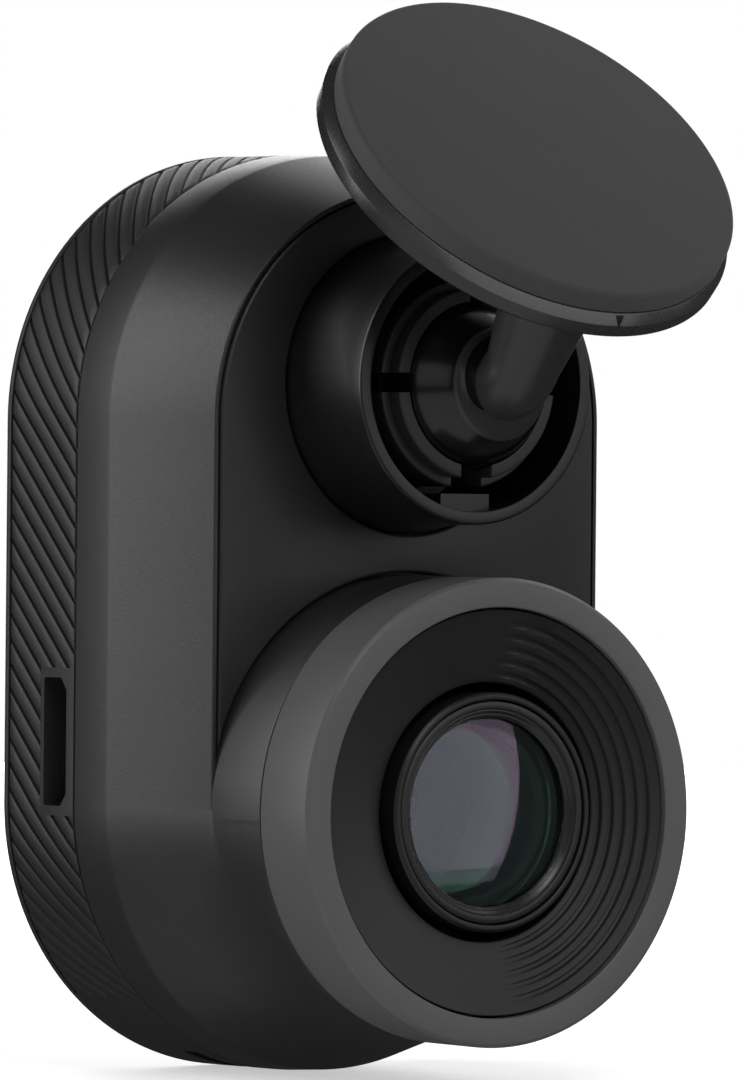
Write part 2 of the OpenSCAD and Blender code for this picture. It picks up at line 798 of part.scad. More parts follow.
module usb_socket() {
    t = 0.25;
    color("#a8a8a8") in_body() {
        translate([usb_mouth_x, 0, 0]) rotate([90, 0, 90]) difference() {
            linear_extrude(height = usb_depth) translate([usb_y, usb_z])
                usb_outline(usb_shell_l, usb_shell_w);
            translate([0, 0, -1]) linear_extrude(height = usb_depth) translate([usb_y, usb_z])
                usb_outline(usb_shell_l - 2 * t, usb_shell_w - 2 * t);
        }
        // Contact tongue
        block([usb_mouth_x + 0.5, usb_y + 0.1, usb_z - 1.9],
              [usb_mouth_x + usb_depth - 0.5, usb_y + 0.6, usb_z + 1.9]);
    }
}

module card_socket() {
    half = card_w / 2;
    color("#b8b8b8") in_body() difference() {
        block([-half - 1.4, card_front_y - 0.3, card_socket_low_z],
              [half + 1.4, board_front_y - 0.02, card_socket_top_z]);
        block([-half - card_gap, card_front_y - card_gap, card_socket_low_z - 1],
              [half + card_gap, card_front_y + card_t + card_gap, card_top_z + card_push + 0.1]);
    }
}

module memory_card() {
    half = card_w / 2;
    color("#181818") in_body() slab(card_front_y, card_front_y + card_t) polygon([
        [-half, card_low_z], [half, card_low_z], [half, card_top_z - 6.4], [half - 0.7, card_top_z - 5.7],
        [half - 0.7, card_top_z - 4], [half - 1.3, card_top_z - 3.4], [half - 1.3, card_top_z],
        [-half, card_top_z]
    ]);
}

module backup_cell() {
    cell_r = 4;
    color("#3060a0") in_body() translate([-9, -2.6, 12.5]) rotate([0, 90, 0])
        cylinder(r = cell_r, h = 18);
}

module tact_switch() {
    color("#303030") in_body() difference() {
        block([-2, board_y + 0.02, button_z - 2], [2, switch_top_y, button_z + 2]);
        bar(plunger_r + fit, plunger_well_y, switch_top_y + 1, 0, button_z);
    }
}

module switch_plunger() {
    color("#d8d8d8") in_body()
        bar(plunger_r, plunger_y, button_under_y - 0.02, 0, button_z);
}

module action_button() {
    top_edge = 0.25;
    flange_top_y = button_under_y + button_flange;
    color("#2c2c2c") in_body() {
        slab(button_under_y, flange_top_y) button_outline(0.8);
        slab(flange_top_y - eps, button_top_y - top_edge) button_outline(0);
        slab(button_top_y - top_edge - eps, button_top_y) button_outline(-top_edge);
    }
}

module status_led() {
    color("#e8e8e0") in_body()
        block([-0.8, board_y + 0.02, led_z - 0.4], [0.8, board_y + 0.8, led_z + 0.4]);
}

module light_pipe() {
    sweep_r = (back_r * back_r + cover_crown * cover_crown) / (2 * cover_crown);
    from_axis = max(led_z - straight, 0);
    skin_y = crown_y - sweep_r + sqrt(sweep_r * sweep_r - from_axis * from_axis);
    color("#d0d8d8") in_body() {
        bar(pipe_r, board_y + 1, skin_y - 0.05, 0, led_z);
        bar(pipe_r + 0.5, board_y + 1.6, board_y + 2.3, 0, led_z);
    }
}

module microphone() {
    color("#c8b060") in_body()
        block([mic_at[0] - 1.5, board_y + 0.02, mic_at[1] - 1], [mic_at[0] + 1.5, board_y + 1, mic_at[1] + 1]);
}

module mic_boot() {
    color("#202020") in_body() difference() {
        bar(1.5, board_y + 1.05, crown_y - cover_t - 0.55, mic_at[0], mic_at[1]);
        bar(0.5, board_y, crown_y, mic_at[0], mic_at[1]);
    }
}

module speaker() {
    front = board_y + 0.1;
    step_y = front + 0.6;
    color("#505050") in_body() {
        bar(speaker_r, step_y, crown_y - cover_t - 0.5, 0, speaker_z);
        bar(speaker_r - 2, front, step_y + eps, 0, speaker_z);
    }
}

adhesive_pad();
mount_plate();
ball_stem();
ball();
collet();
ball_socket();
socket_screws();
front_housing();
front_panel();
rear_housing();
back_cover();
housing_screws();
lens_ring();
ribbed_disc();
lens_tube();
lens_retainer();
front_lens();
second_lens();
aperture_stop();
third_lens();
rear_lens();
ir_filter();
lens_holder();
lens_screws();
image_sensor();
sensor_board();
sensor_cable();
main_board();
board_screws();
shield_can();
thermal_pad();
heat_spreader();
usb_socket();
card_socket();
memory_card();
backup_cell();
tact_switch();
switch_plunger();
action_button();
status_led();
light_pipe();
microphone();
mic_boot();
speaker();
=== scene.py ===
"""Looks of a windscreen dash camera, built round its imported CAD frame.

Shapes are modelled in millimetres in the body's own frame: X is the width, the lens looks along -Y, Z is up,
and the zero is the middle of the body on the plane of its seam. Radii are measured from the middle line of
the body, or from an axis along Y.
"""

import json
import logging
import math
from dataclasses import dataclass
from enum import Enum
from typing import Any, Callable, Iterable, NamedTuple, Sequence

import bmesh
import bpy
from mathutils import Matrix, Vector


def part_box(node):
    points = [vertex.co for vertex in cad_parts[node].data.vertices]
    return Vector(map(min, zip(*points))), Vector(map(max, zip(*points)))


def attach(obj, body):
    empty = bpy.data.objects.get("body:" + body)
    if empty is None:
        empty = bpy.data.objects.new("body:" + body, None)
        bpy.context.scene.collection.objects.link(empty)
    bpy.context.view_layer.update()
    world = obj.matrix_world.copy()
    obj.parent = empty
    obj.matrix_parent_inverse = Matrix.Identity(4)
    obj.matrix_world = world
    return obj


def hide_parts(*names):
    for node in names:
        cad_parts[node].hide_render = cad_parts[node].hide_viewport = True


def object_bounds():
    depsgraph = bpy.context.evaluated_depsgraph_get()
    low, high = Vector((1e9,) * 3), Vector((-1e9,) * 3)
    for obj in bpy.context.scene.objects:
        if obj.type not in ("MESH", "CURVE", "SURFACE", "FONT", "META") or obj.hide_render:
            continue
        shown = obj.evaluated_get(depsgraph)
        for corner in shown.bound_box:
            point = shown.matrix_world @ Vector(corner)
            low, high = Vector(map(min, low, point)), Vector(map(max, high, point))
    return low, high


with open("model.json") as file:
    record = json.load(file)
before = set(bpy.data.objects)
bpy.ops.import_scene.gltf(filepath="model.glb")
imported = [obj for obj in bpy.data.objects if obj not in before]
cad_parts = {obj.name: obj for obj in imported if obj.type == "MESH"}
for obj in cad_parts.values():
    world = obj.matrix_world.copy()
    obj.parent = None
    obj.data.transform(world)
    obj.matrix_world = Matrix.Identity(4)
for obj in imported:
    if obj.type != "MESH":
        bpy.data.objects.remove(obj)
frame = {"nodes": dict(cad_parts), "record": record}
CAD_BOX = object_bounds()

LOG = logging.getLogger("dash_camera")
MM = 0.001
# Distance in millimetres within which two points are one
WELD = 0.0005
# Smallest angle of an edge that shades as sharp
SHARP = math.radians(33)
# Largest angle between two faces that count as one flat face
FLAT = math.radians(0.5)
# Radius in millimetres of the socket's foot, which the panel leaves a hole for
SOCKET_FOOT_R = 8.4
# Width in millimetres of the line that a mould's halves leave
PARTING_LINE = 0.1
# Gap in millimetres that neighbouring ribs are merged over
RIB_MERGE = 0.004
LENS_ELEMENTS = ("front_element", "second_element", "third_element", "fourth_element")

Point = tuple[float, float]
Corner = tuple[float, float, float]
Loop = list[Vector]
Tree = bpy.types.GeometryNodeTree


def add_node(tree: bpy.types.NodeTree, kind: str, inputs: dict | None = None,
             **settings: Any) -> bpy.types.Node:
    """Adds a node to a tree.

    Args:
        tree: The tree that gets the node.
        kind: The node's type name.
        inputs: Input names or numbers, each with a value or with the output that feeds it.
        settings: Properties of the node itself.

    Returns:
        The new node.
    """
    node = tree.nodes.new(kind)
    for key, value in settings.items():
        setattr(node, key, value)
    for key, value in (inputs or {}).items():
        if isinstance(value, bpy.types.NodeSocket):
            tree.links.new(value, node.inputs[key])
        else:
            node.inputs[key].default_value = value
    return node


def linear(code: str) -> tuple[float, float, float, float]:
    """Turns an sRGB colour into the linear colour that shaders take.

    Args:
        code: The colour in hex, such as "#303030".

    Returns:
        Red, green, blue and an opacity of 1.
    """
    parts = [int(code[i:i + 2], 16) / 255 for i in (1, 3, 5)]
    curve = [c / 12.92 if c <= 0.04045 else ((c + 0.055) / 1.055) ** 2.4 for c in parts]
    return (*curve, 1.0)


# ---------------------------------------------------------------- finishes

# Length over which the tone of a moulding drifts, as pigment and flow leave it
DRIFT_MM = 5.0
# How far the roughness swings about its middle from the top of a grain to its foot
ROUGH_SWING = 0.05
# Drawn metal: how much coarser its lines are along the metal than across it
DRAWN_ALONG = 0.04
# Tracks on a board: their pitch in line widths
TRACK_PITCH = 4
COAT_ROUGHNESS = 0.12
SHEEN_ROUGHNESS = 0.5
# Length over which the thickness of a lens coating drifts
COATING_DRIFT_MM = 6.0
GLASS_ROUGHNESS = (0.01, 0.03)
GLASS_IOR = 1.52


class Pattern(Enum):
    """How a surface was made, which sets what its fine relief looks like."""

    GRAIN = "spark-eroded mould, an even fine grain"
    SATIN = "lightly polished mould, faint waviness"
    FOAM = "closed-cell foam, small dimples"
    DRAWN = "rolled, drawn or brushed metal, lines along one axis"
    BOARD = "lacquer over etched copper"


@dataclass(frozen=True)
class Finish:
    """A material and how its surface was made.

    Attributes:
        name: Common name of the material.
        colour: Base colour, sRGB hex.
        roughness: Middle roughness.
        pattern: What made the fine relief.
        grain_mm: Size of one grain, dimple or line.
        relief_mm: Height of the relief.
        mottle: Share by which the tone varies over a few millimetres.
        metallic: 1 for bare metal.
        ior: Index of refraction.
        coat: Weight of a clear skin, as on polished or lacquered plastic.
        sheen: Weight of a soft edge glow, as on foam and soft-touch plastic.
    """

    name: str
    colour: str
    roughness: float
    pattern: Pattern = Pattern.GRAIN
    grain_mm: float = 0.16
    relief_mm: float = 0.006
    mottle: float = 0.08
    metallic: float = 0.0
    ior: float = 1.5
    coat: float = 0.0
    sheen: float = 0.0

    def _height(self, tree: bpy.types.NodeTree, place: bpy.types.NodeSocket) -> bpy.types.NodeSocket:
        """Adds the nodes of the fine relief.

        Args:
            tree: The material's tree.
            place: Object coordinates, in metres.

        Returns:
            The relief's height, about 0 to 1.
        """
        scale = 1 / (self.grain_mm * MM)
        if self.pattern is Pattern.DRAWN:
            drawn = add_node(tree, "ShaderNodeMapping", {"Vector": place, "Scale": (1, 1, DRAWN_ALONG)})
            lines = add_node(tree, "ShaderNodeTexNoise", {
                "Vector": drawn.outputs[0], "Scale": scale, "Detail": 2,
            })
            return lines.outputs[0]
        if self.pattern is Pattern.FOAM:
            cells = add_node(tree, "ShaderNodeTexVoronoi", {"Vector": place, "Scale": scale, "Randomness": 1})
            return cells.outputs["Distance"]
        if self.pattern is Pattern.BOARD:
            tracks = add_node(tree, "ShaderNodeTexBrick", {
                "Vector": place, "Scale": scale / TRACK_PITCH, "Mortar Size": 0.03, "Mortar Smooth": 0.4,
            })
            return tracks.outputs["Fac"]
        detail = 3 if self.pattern is Pattern.GRAIN else 1
        grain = add_node(tree, "ShaderNodeTexNoise", {"Vector": place, "Scale": scale, "Detail": detail})
        return grain.outputs[0]

    def build(self) -> bpy.types.Material:
        """Makes the material, once.

        Returns:
            The material, named for what it is made of.
        """
        made = bpy.data.materials.get(self.name)
        if made:
            return made
        made = bpy.data.materials.new(self.name)
        made.use_nodes = True
        tree = made.node_tree
        tree.nodes.clear()
        place = add_node(tree, "ShaderNodeTexCoord").outputs["Object"]
        height = self._height(tree, place)
        drift = add_node(tree, "ShaderNodeTexNoise", {
            "Vector": place, "Scale": 1 / (DRIFT_MM * MM), "Detail": 2,
        })
        tones = [add_node(tree, "ShaderNodeMapRange", {
            "Value": value, "From Min": 0.3, "From Max": 0.7,
            "To Min": 1 - self.mottle, "To Max": 1 + self.mottle,
        }).outputs[0] for value in (drift.outputs[0], height)]
        shade = add_node(tree, "ShaderNodeMath", {0: tones[0], 1: tones[1]}, operation="MULTIPLY")
        colour = add_node(tree, "ShaderNodeVectorMath", {
            0: linear(self.colour)[:3], "Scale": shade.outputs[0],
        }, operation="SCALE")
        rough = add_node(tree, "ShaderNodeMapRange", {
            "Value": height, "From Min": 0.25, "From Max": 0.75,
            "To Min": max(self.roughness - ROUGH_SWING, 0.02), "To Max": self.roughness + ROUGH_SWING,
        })
        bump = add_node(tree, "ShaderNodeBump", {
            "Height": height, "Strength": 1.0, "Distance": self.relief_mm * MM,
        })
        shader = add_node(tree, "ShaderNodeBsdfPrincipled", {
            "Base Color": colour.outputs[0], "Roughness": rough.outputs[0], "Normal": bump.outputs[0],
            "Metallic": self.metallic, "IOR": self.ior, "Coat Weight": self.coat,
            "Coat Roughness": COAT_ROUGHNESS, "Sheen Weight": self.sheen, "Sheen Roughness": SHEEN_ROUGHNESS,
        })
        add_node(tree, "ShaderNodeOutputMaterial", {"Surface": shader.outputs[0]})
        return made


@dataclass(frozen=True)
class Glass:
    """Optical glass with an anti-reflection coating.

    Attributes:
        name: Common name of the material.
        tint: Colour of light that passes, sRGB hex.
        coating: Colour of what the coating still reflects, sRGB hex.
        strength: Share of an uncoated surface's reflection that is left.
    """

    name: str
    tint: str
    coating: str
    strength: float = 0.4

    def build(self) -> bpy.types.Material:
        """Makes the material, once, with its surface a little uneven.

        Returns:
            The material.
        """
        made = bpy.data.materials.get(self.name)
        if made:
            return made
        made = bpy.data.materials.new(self.name)
        made.use_nodes = True
        tree = made.node_tree
        tree.nodes.clear()
        place = add_node(tree, "ShaderNodeTexCoord").outputs["Object"]
        drift = add_node(tree, "ShaderNodeTexNoise", {
            "Vector": place, "Scale": 1 / (COATING_DRIFT_MM * MM), "Detail": 1,
        })
        rough = add_node(tree, "ShaderNodeMapRange", {
            "Value": drift.outputs[0], "To Min": GLASS_ROUGHNESS[0], "To Max": GLASS_ROUGHNESS[1],
        })
        shader = add_node(tree, "ShaderNodeBsdfPrincipled", {
            "Base Color": linear(self.tint), "Roughness": rough.outputs[0], "IOR": GLASS_IOR,
            "Transmission Weight": 1.0, "Specular IOR Level": 0.5 * self.strength,
            "Specular Tint": linear(self.coating),
        })
        add_node(tree, "ShaderNodeOutputMaterial", {"Surface": shader.outputs[0]})
        return made


# Many of these grains, waves, lines and tracks are finer on the real surfaces. They are drawn as coarse as
# they need to be to show, so none is much under a tenth of a millimetre.

# Black ABS from a mould etched to a fine grain: dark grey with a broad, soft highlight
HOUSING = Finish("ABS_housing_fine_grain", "#222222", 0.4, grain_mm=0.14, relief_mm=0.007)
# The same ABS from a finer etch: darker, with a slightly tighter highlight
PANEL = Finish("ABS_panel_fine_grain", "#212121", 0.44, grain_mm=0.12, relief_mm=0.006)
# The same ABS left matt, so that the ribs read by their shade and not by their shine
GRIP = Finish("ABS_grip_matt", "#1b1b1b", 0.52, grain_mm=0.13, relief_mm=0.006)
# ABS, fine grain: the largest plain surface, kept even and quiet
COVER = Finish("ABS_cover_fine_grain", "#1f1f1f", 0.48, grain_mm=0.14, relief_mm=0.007)
# Grey-pigmented ABS, satin: the lightest plastic, so that it frames the lens
RING = Finish("ABS_ring_grey", "#505050", 0.42, grain_mm=0.1, relief_mm=0.003, mottle=0.03)
# ABS, fine grain: darker than the ring, so that the grooves show as shade
DISC = Finish("ABS_disc_fine_grain", "#171717", 0.48, grain_mm=0.12, relief_mm=0.005)
# ABS from a lightly polished mould: nearly black, with soft-edged bands of light
SOCKET = Finish("ABS_socket_satin", "#121212", 0.33, Pattern.SATIN, 0.12, 0.0002, mottle=0.01, coat=0.1)
# Acetal, moulded matt: a waxy dark grey
COLLET = Finish("POM_collet_matt", "#262626", 0.4, Pattern.SATIN, 0.12, 0.0006, mottle=0.02)
# Acetal, polished by the mould and by its own turning: black with small bright highlights
BALL = Finish("POM_ball_polished", "#080808", 0.22, Pattern.SATIN, 0.1, 0.0003, mottle=0.02, coat=0.2)
# Polycarbonate, satin mould: dark, with one soft highlight along its length
STEM = Finish("PC_stem_satin", "#282828", 0.34, Pattern.SATIN, 0.1, 0.0005, mottle=0.02, coat=0.05)
# Polycarbonate, satin mould: its chamfer catches the light as a thin band
PLATE = Finish("PC_plate_satin", "#1f1f1f", 0.26, Pattern.SATIN, 0.12, 0.0003, mottle=0.01)
# Closed-cell acrylic foam tape: flat dark grey with a faint bloom at the rim and no highlight
FOAM = Finish("acrylic_foam_tape", "#343434", 0.75, Pattern.FOAM, 0.12, 0.004, mottle=0.03, sheen=0.08)
# Aluminium, turned and dyed black by anodising: dark, with a dull metal-like gleam on its edges
LENS_BLACK = Finish("anodised_aluminium_black", "#141414", 0.38, Pattern.SATIN, 0.2, 0.0004, mottle=0.01)
# The same, turned finer: its steps show as thin bright rings
RETAINER = Finish("anodised_aluminium_retainer", "#1c1c1c", 0.3, Pattern.SATIN, 0.2, 0.0004, mottle=0.01)
# Polycarbonate, fine grain: a shade smoother than the cover round it
BUTTON = Finish("PC_button_fine_grain", "#202020", 0.42, grain_mm=0.14, relief_mm=0.006)
# Silicone rubber, moulded: black and almost without highlight
RUBBER = Finish("silicone_rubber", "#1d1d1d", 0.7, Pattern.SATIN, 0.3, 0.003, sheen=0.1)
# Silicone gap pad, cast: pale blue, soft and chalky
THERMAL = Finish("silicone_gap_pad", "#9aafc4", 0.75, Pattern.FOAM, 0.2, 0.004)
# Carbon steel, zinc plated: grey-white metal with fine drawn lines
STEEL = Finish("zinc_plated_steel", "#9a9a98", 0.3, Pattern.DRAWN, 0.08, 0.002, metallic=1.0)
# Steel sheet, tinned and rolled: bright, with faint lines from the rolls
TINPLATE = Finish("tinned_steel_sheet", "#b4b4b0", 0.25, Pattern.DRAWN, 0.1, 0.002, metallic=1.0)
# Steel sheet, nickel plated: a warmer, darker bright metal
NICKEL = Finish("nickel_plated_steel", "#8c8c88", 0.3, Pattern.DRAWN, 0.1, 0.002, metallic=1.0)
# Aluminium sheet, rolled: pale and satin
ALUMINIUM = Finish("aluminium_sheet", "#bcbcbc", 0.35, Pattern.DRAWN, 0.1, 0.003, metallic=1.0)
# Brass, deep drawn: yellow metal with a soft shine
BRASS = Finish("brass_can", "#c8b060", 0.28, Pattern.DRAWN, 0.1, 0.002, metallic=1.0)
# Glass-epoxy laminate under green lacquer: the tracks show as low ridges under the gloss
BOARD = Finish("glass_epoxy_board_green_lacquer", "#1a5a30", 0.35, Pattern.BOARD, 0.6, 0.02, coat=0.4)
# Polyimide film: amber and smooth
FILM = Finish("polyimide_film", "#a5691e", 0.3, Pattern.SATIN, 0.4, 0.002, coat=0.3)
# Silicon under its cover glass: dark green-grey with a sharp gloss on top
SENSOR = Finish("silicon_under_cover_glass", "#1c2a26", 0.2, Pattern.SATIN, 0.2, 0.0003, coat=0.6)
# PVC, shrunk on: blue, glossy, slightly wavy
SLEEVE = Finish("PVC_shrink_sleeve", "#2f5fa5", 0.3, Pattern.SATIN, 0.8, 0.01, coat=0.2)
# ABS, fine matt grain: black
CARD = Finish("ABS_card_matt", "#1a1a1a", 0.5, grain_mm=0.1, relief_mm=0.003)
# Polyamide with glass fibre, moulded: dull black
SWITCH = Finish("PA_switch_body", "#2a2a2a", 0.5, grain_mm=0.15, relief_mm=0.004)
# Polyamide, natural: off-white and slightly waxy
PLUNGER = Finish("PA_switch_plunger", "#c4c4c0", 0.45, Pattern.SATIN, 0.3, 0.002)
# Polycarbonate, clear and frosted on its face: milky white
PIPE = Finish("PC_light_pipe_frosted", "#b8c0c0", 0.25, Pattern.SATIN, 0.3, 0.002, ior=1.58, coat=0.2)
# Epoxy, cast: cream and glossy
RESIN = Finish("epoxy_LED_resin", "#d8d8cc", 0.2, Pattern.SATIN, 0.3, 0.001, coat=0.5)
# Multi-layer coating on the front lens: violet is what it still reflects
FRONT_GLASS = Glass("optical_glass_violet_coating", "#dfeae6", "#c49cc6", 1.25)
# Single coating on the inner lenses: a weak green comes back from them
INNER_GLASS = Glass("optical_glass_green_coating", "#cfe2dc", "#5f9e8c", 0.1)
# Blue glass that holds back infrared: a red gleam over pale blue
FILTER_GLASS = Glass("blue_filter_glass", "#8fb8c0", "#a05050", 0.6)


# ---------------------------------------------------------------- outlines and paths

class Station(NamedTuple):
    """A place on a path round the body: a centre and an outward direction, both in X and Z."""

    x: float
    z: float
    dx: float
    dz: float

    def at(self, r: float, y: float) -> Vector:
        """The point at the radius r from the centre, at the depth y."""
        return Vector((self.x + r * self.dx, y, self.z + r * self.dz))


def ring_path(z: float, count: int = 128, start: float = 0.0, sweep: float = 2 * math.pi,
              x: float = 0.0) -> list[Station]:
    """Stations on a circle's axis, for turned pieces.

    Args:
        z: Height of the axis.
        count: Number of stations.
        start: First direction, in radians.
        sweep: Angle covered. A full turn leaves out the last station, which is the first.
        x: Place of the axis across the width.

    Returns:
        The stations in order.
    """
    full = sweep > 2 * math.pi - 1e-9
    steps = count if full else count - 1
    angles = [start + sweep * i / steps for i in range(count)]
    return [Station(x, z, math.cos(a), math.sin(a)) for a in angles]


def outline_path(half: float, count: int = 96) -> list[Station]:
    """Stations round the body's outline: a half circle, a straight side, a half circle, a straight side.

    Args:
        half: Half the length of the straight sides.
        count: Number of steps on each half circle.

    Returns:
        The stations in order.
    """
    made = []
    for turn, z in ((0, half), (math.pi, -half)):
        made += [Station(0, z, math.cos(turn + math.pi * i / count), math.sin(turn + math.pi * i / count))
                 for i in range(count + 1)]
    return made


def rounded(corners: Sequence[Corner], steps: int = 5, closed: bool = True) -> list[Point]:
    """Rounds the corners of an outline.

    Args:
        corners: Corners, each with its fillet radius.
        steps: Number of straight pieces in each fillet.
        closed: Whether the last corner joins the first.

    Returns:
        The points of the outline.
    """
    points: list[Point] = []
    count = len(corners)
    for i, (u, v, radius) in enumerate(corners):
        here = Vector((u, v))
        if radius <= 0 or (not closed and i in (0, count - 1)):
            points.append((u, v))
            continue
        before = Vector(corners[i - 1][:2]) - here
        after = Vector(corners[(i + 1) % count][:2]) - here
        half = before.angle(after) / 2
        reach = min(radius / math.tan(half), 0.49 * before.length, 0.49 * after.length)
        radius = reach * math.tan(half)
        middle = here + (before.normalized() + after.normalized()).normalized() * (radius / math.sin(half))
        first = here + before.normalized() * reach - middle
        last = here + after.normalized() * reach - middle
        start = math.atan2(first.y, first.x)
        turn = (math.atan2(last.y, last.x) - start + math.pi) % (2 * math.pi) - math.pi
        for k in range(steps + 1):
            a = start + turn * k / steps
            points.append((middle.x + radius * math.cos(a), middle.y + radius * math.sin(a)))
    return points


# ---------------------------------------------------------------- forms

class Form:
    """A closed mesh under construction, in millimetres."""

    def __init__(self) -> None:
        """Starts empty."""
        self.bm = bmesh.new()

    def loft(self, rings: Sequence[Sequence[Vector]], loop: bool = True, hollow: bool = True) -> "Form":
        """Skins a row of rings that have the same number of points.

        Args:
            rings: The rings in order.
            loop: Whether the last ring joins the first. If not, both end rings are capped.
            hollow: Whether each ring's last point joins its first.

        Returns:
            This form.
        """
        made = [[self.bm.verts.new(p) for p in ring] for ring in rings]
        size = len(made[0])
        for i in range(len(made) if loop else len(made) - 1):
            a, b = made[i], made[(i + 1) % len(made)]
            for k in range(size if hollow else size - 1):
                m = (k + 1) % size
                self.bm.faces.new((a[k], a[m], b[m], b[k]))
        if not loop:
            for ring in (made[0], made[-1]):
                self.bm.faces.new(ring)
        return self.weld()

    def sweep(self, profile: Sequence[Point] | Callable[[Station], Sequence[Point]], path: Sequence[Station],
              loop: bool = True) -> "Form":
        """Carries a profile of radius and depth along a path.

        Args:
            profile: The profile, or a function that gives it for a station.
            path: The stations.
            loop: Whether the path closes on itself.

        Returns:
            This form.
        """
        shape = profile if callable(profile) else (lambda station: profile)
        rings = [[s.at(r, y) for r, y in shape(s)] for s in path]
        ends = shape(path[0])
        on_axis = abs(ends[0][0]) < WELD and abs(ends[-1][0]) < WELD
        return self.loft(rings, loop, hollow=not on_axis)

    def slab(self, levels: Sequence[Point], outline: Callable[[float], Sequence[Loop]]) -> "Form":
        """Makes a flat piece with soft edges and holes.

        Args:
            levels: Inset of the outline and depth of each level, front to back.
            outline: Gives the loops of the outline at an inset: the outer one, then the holes.

        Returns:
            This form.
        """
        caps: dict[int, list] = {0: [], len(levels) - 1: []}
        stacks = [outline(inset) for inset, _ in levels]
        for k in range(len(stacks[0])):
            rings = [[self.bm.verts.new((p.x, levels[i][1], p.y)) for p in stack[k]]
                     for i, stack in enumerate(stacks)]
            for a, b in zip(rings, rings[1:]):
                for j in range(len(a)):
                    m = (j + 1) % len(a)
                    self.bm.faces.new((a[j], a[m], b[m], b[j]))
            for i in caps:
                ring = rings[i]
                caps[i] += [self.bm.edges.get((ring[j - 1], ring[j])) for j in range(len(ring))]
        for edges in caps.values():
            bmesh.ops.triangle_fill(self.bm, edges=edges, use_beauty=True)
        return self.weld()

    def weld(self) -> "Form":
        """Merges doubled points, removes edges without a face and turns the faces outwards.

        Returns:
            This form.
        """
        bmesh.ops.remove_doubles(self.bm, verts=self.bm.verts, dist=WELD)
        loose = [e for e in self.bm.edges if not e.link_faces]
        bmesh.ops.delete(self.bm, geom=loose, context="EDGES")
        bmesh.ops.recalc_face_normals(self.bm, faces=self.bm.faces)
        return self

    def moved(self, matrix: Matrix) -> "Form":
        """Moves the whole form by a matrix."""
        bmesh.ops.transform(self.bm, matrix=matrix, verts=self.bm.verts)
        return self

    def temporary(self) -> bpy.types.Object:
        """Puts the mesh in an object of its own, which uses the form up.

        Returns:
            The object.
        """
        mesh = bpy.data.meshes.new("form")
        self.bm.to_mesh(mesh)
        self.bm.free()
        made = bpy.data.objects.new("form", mesh)
        bpy.context.scene.collection.objects.link(made)
        return made

    def combine(self, other: "Form", operation: str) -> "Form":
        """Joins another form to this one, or cuts it away.

        Args:
            other: The other form, which is used up.
            operation: UNION, DIFFERENCE or INTERSECT.

        Returns:
            This form.
        """
        mine, tool = self.temporary(), other.temporary()
        change = mine.modifiers.new("combine", "BOOLEAN")
        change.operation = operation
        change.object = tool
        change.solver = "EXACT"
        self.bm = bmesh.new()
        result = evaluated_mesh(mine)
        self.bm.from_mesh(result)
        bpy.data.meshes.remove(result)
        for used in (mine, tool):
            bpy.data.objects.remove(used)
        bmesh.ops.remove_doubles(self.bm, verts=self.bm.verts, dist=WELD)
        return self

    def cut(self, *others: "Form") -> "Form":
        """Cuts other forms away.

        Args:
            others: The other forms, which are used up.

        Returns:
            This form.
        """
        for other in others:
            self.combine(other, "DIFFERENCE")
        return self

    def join(self, *others: "Form") -> "Form":
        """Joins other forms on.

        Args:
            others: The other forms, which are used up.

        Returns:
            This form.
        """
        for other in others:
            self.combine(other, "UNION")
        return self


def evaluated_mesh(thing: bpy.types.Object) -> bpy.types.Mesh:
    """Applies an object's modifiers.

    Args:
        thing: The object.

    Returns:
        The result, as a new plain mesh.
    """
    graph = bpy.context.evaluated_depsgraph_get()
    graph.update()
    return bpy.data.meshes.new_from_object(thing.evaluated_get(graph))


def bar(r: float, y0: float, y1: float, x: float = 0.0, z: float = 0.0, count: int = 64) -> Form:
    """A round bar along Y from y0 to y1."""
    return Form().sweep([(0, y0), (r, y0), (r, y1), (0, y1)], ring_path(z, count, x=x))


def block(low: Sequence[float], high: Sequence[float]) -> Form:
    """Makes a block.

    Args:
        low: Its lowest corner.
        high: Its highest corner.

    Returns:
        The block.
    """
    form = Form()
    bmesh.ops.create_cube(form.bm, size=1.0)
    size = Vector(high) - Vector(low)
    middle = (Vector(high) + Vector(low)) / 2
    return form.moved(Matrix.Translation(middle) @ Matrix.Diagonal((*size, 1)))


def pill_loop(length: float, width: float, inset: float, x: float = 0.0, z: float = 0.0,
              count: int = 24) -> Loop:
    """A loop with round ends, longer along X.

    Args:
        length: Overall length.
        width: Overall width.
        inset: How far the loop is drawn in.
        x: Middle, across.
        z: Middle, up.
        count: Number of steps on each end.

    Returns:
        The loop's points, as X and Z.
    """
    reach = (length - width) / 2
    r = width / 2 - inset
    loop = []
    for turn, side in ((-math.pi / 2, 1), (math.pi / 2, -1)):
        for i in range(count + 1):
            a = turn + math.pi * i / count
            loop.append(Vector((x + side * reach + r * math.cos(a), z + r * math.sin(a))))
    return loop


# ---------------------------------------------------------------- sizes that come from the frame

def size_of(node: str) -> tuple[Vector, Vector]:
    """Lowest and highest corner of a CAD node in millimetres, in the row frame."""
    low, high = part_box(node)
    return low / MM, high / MM


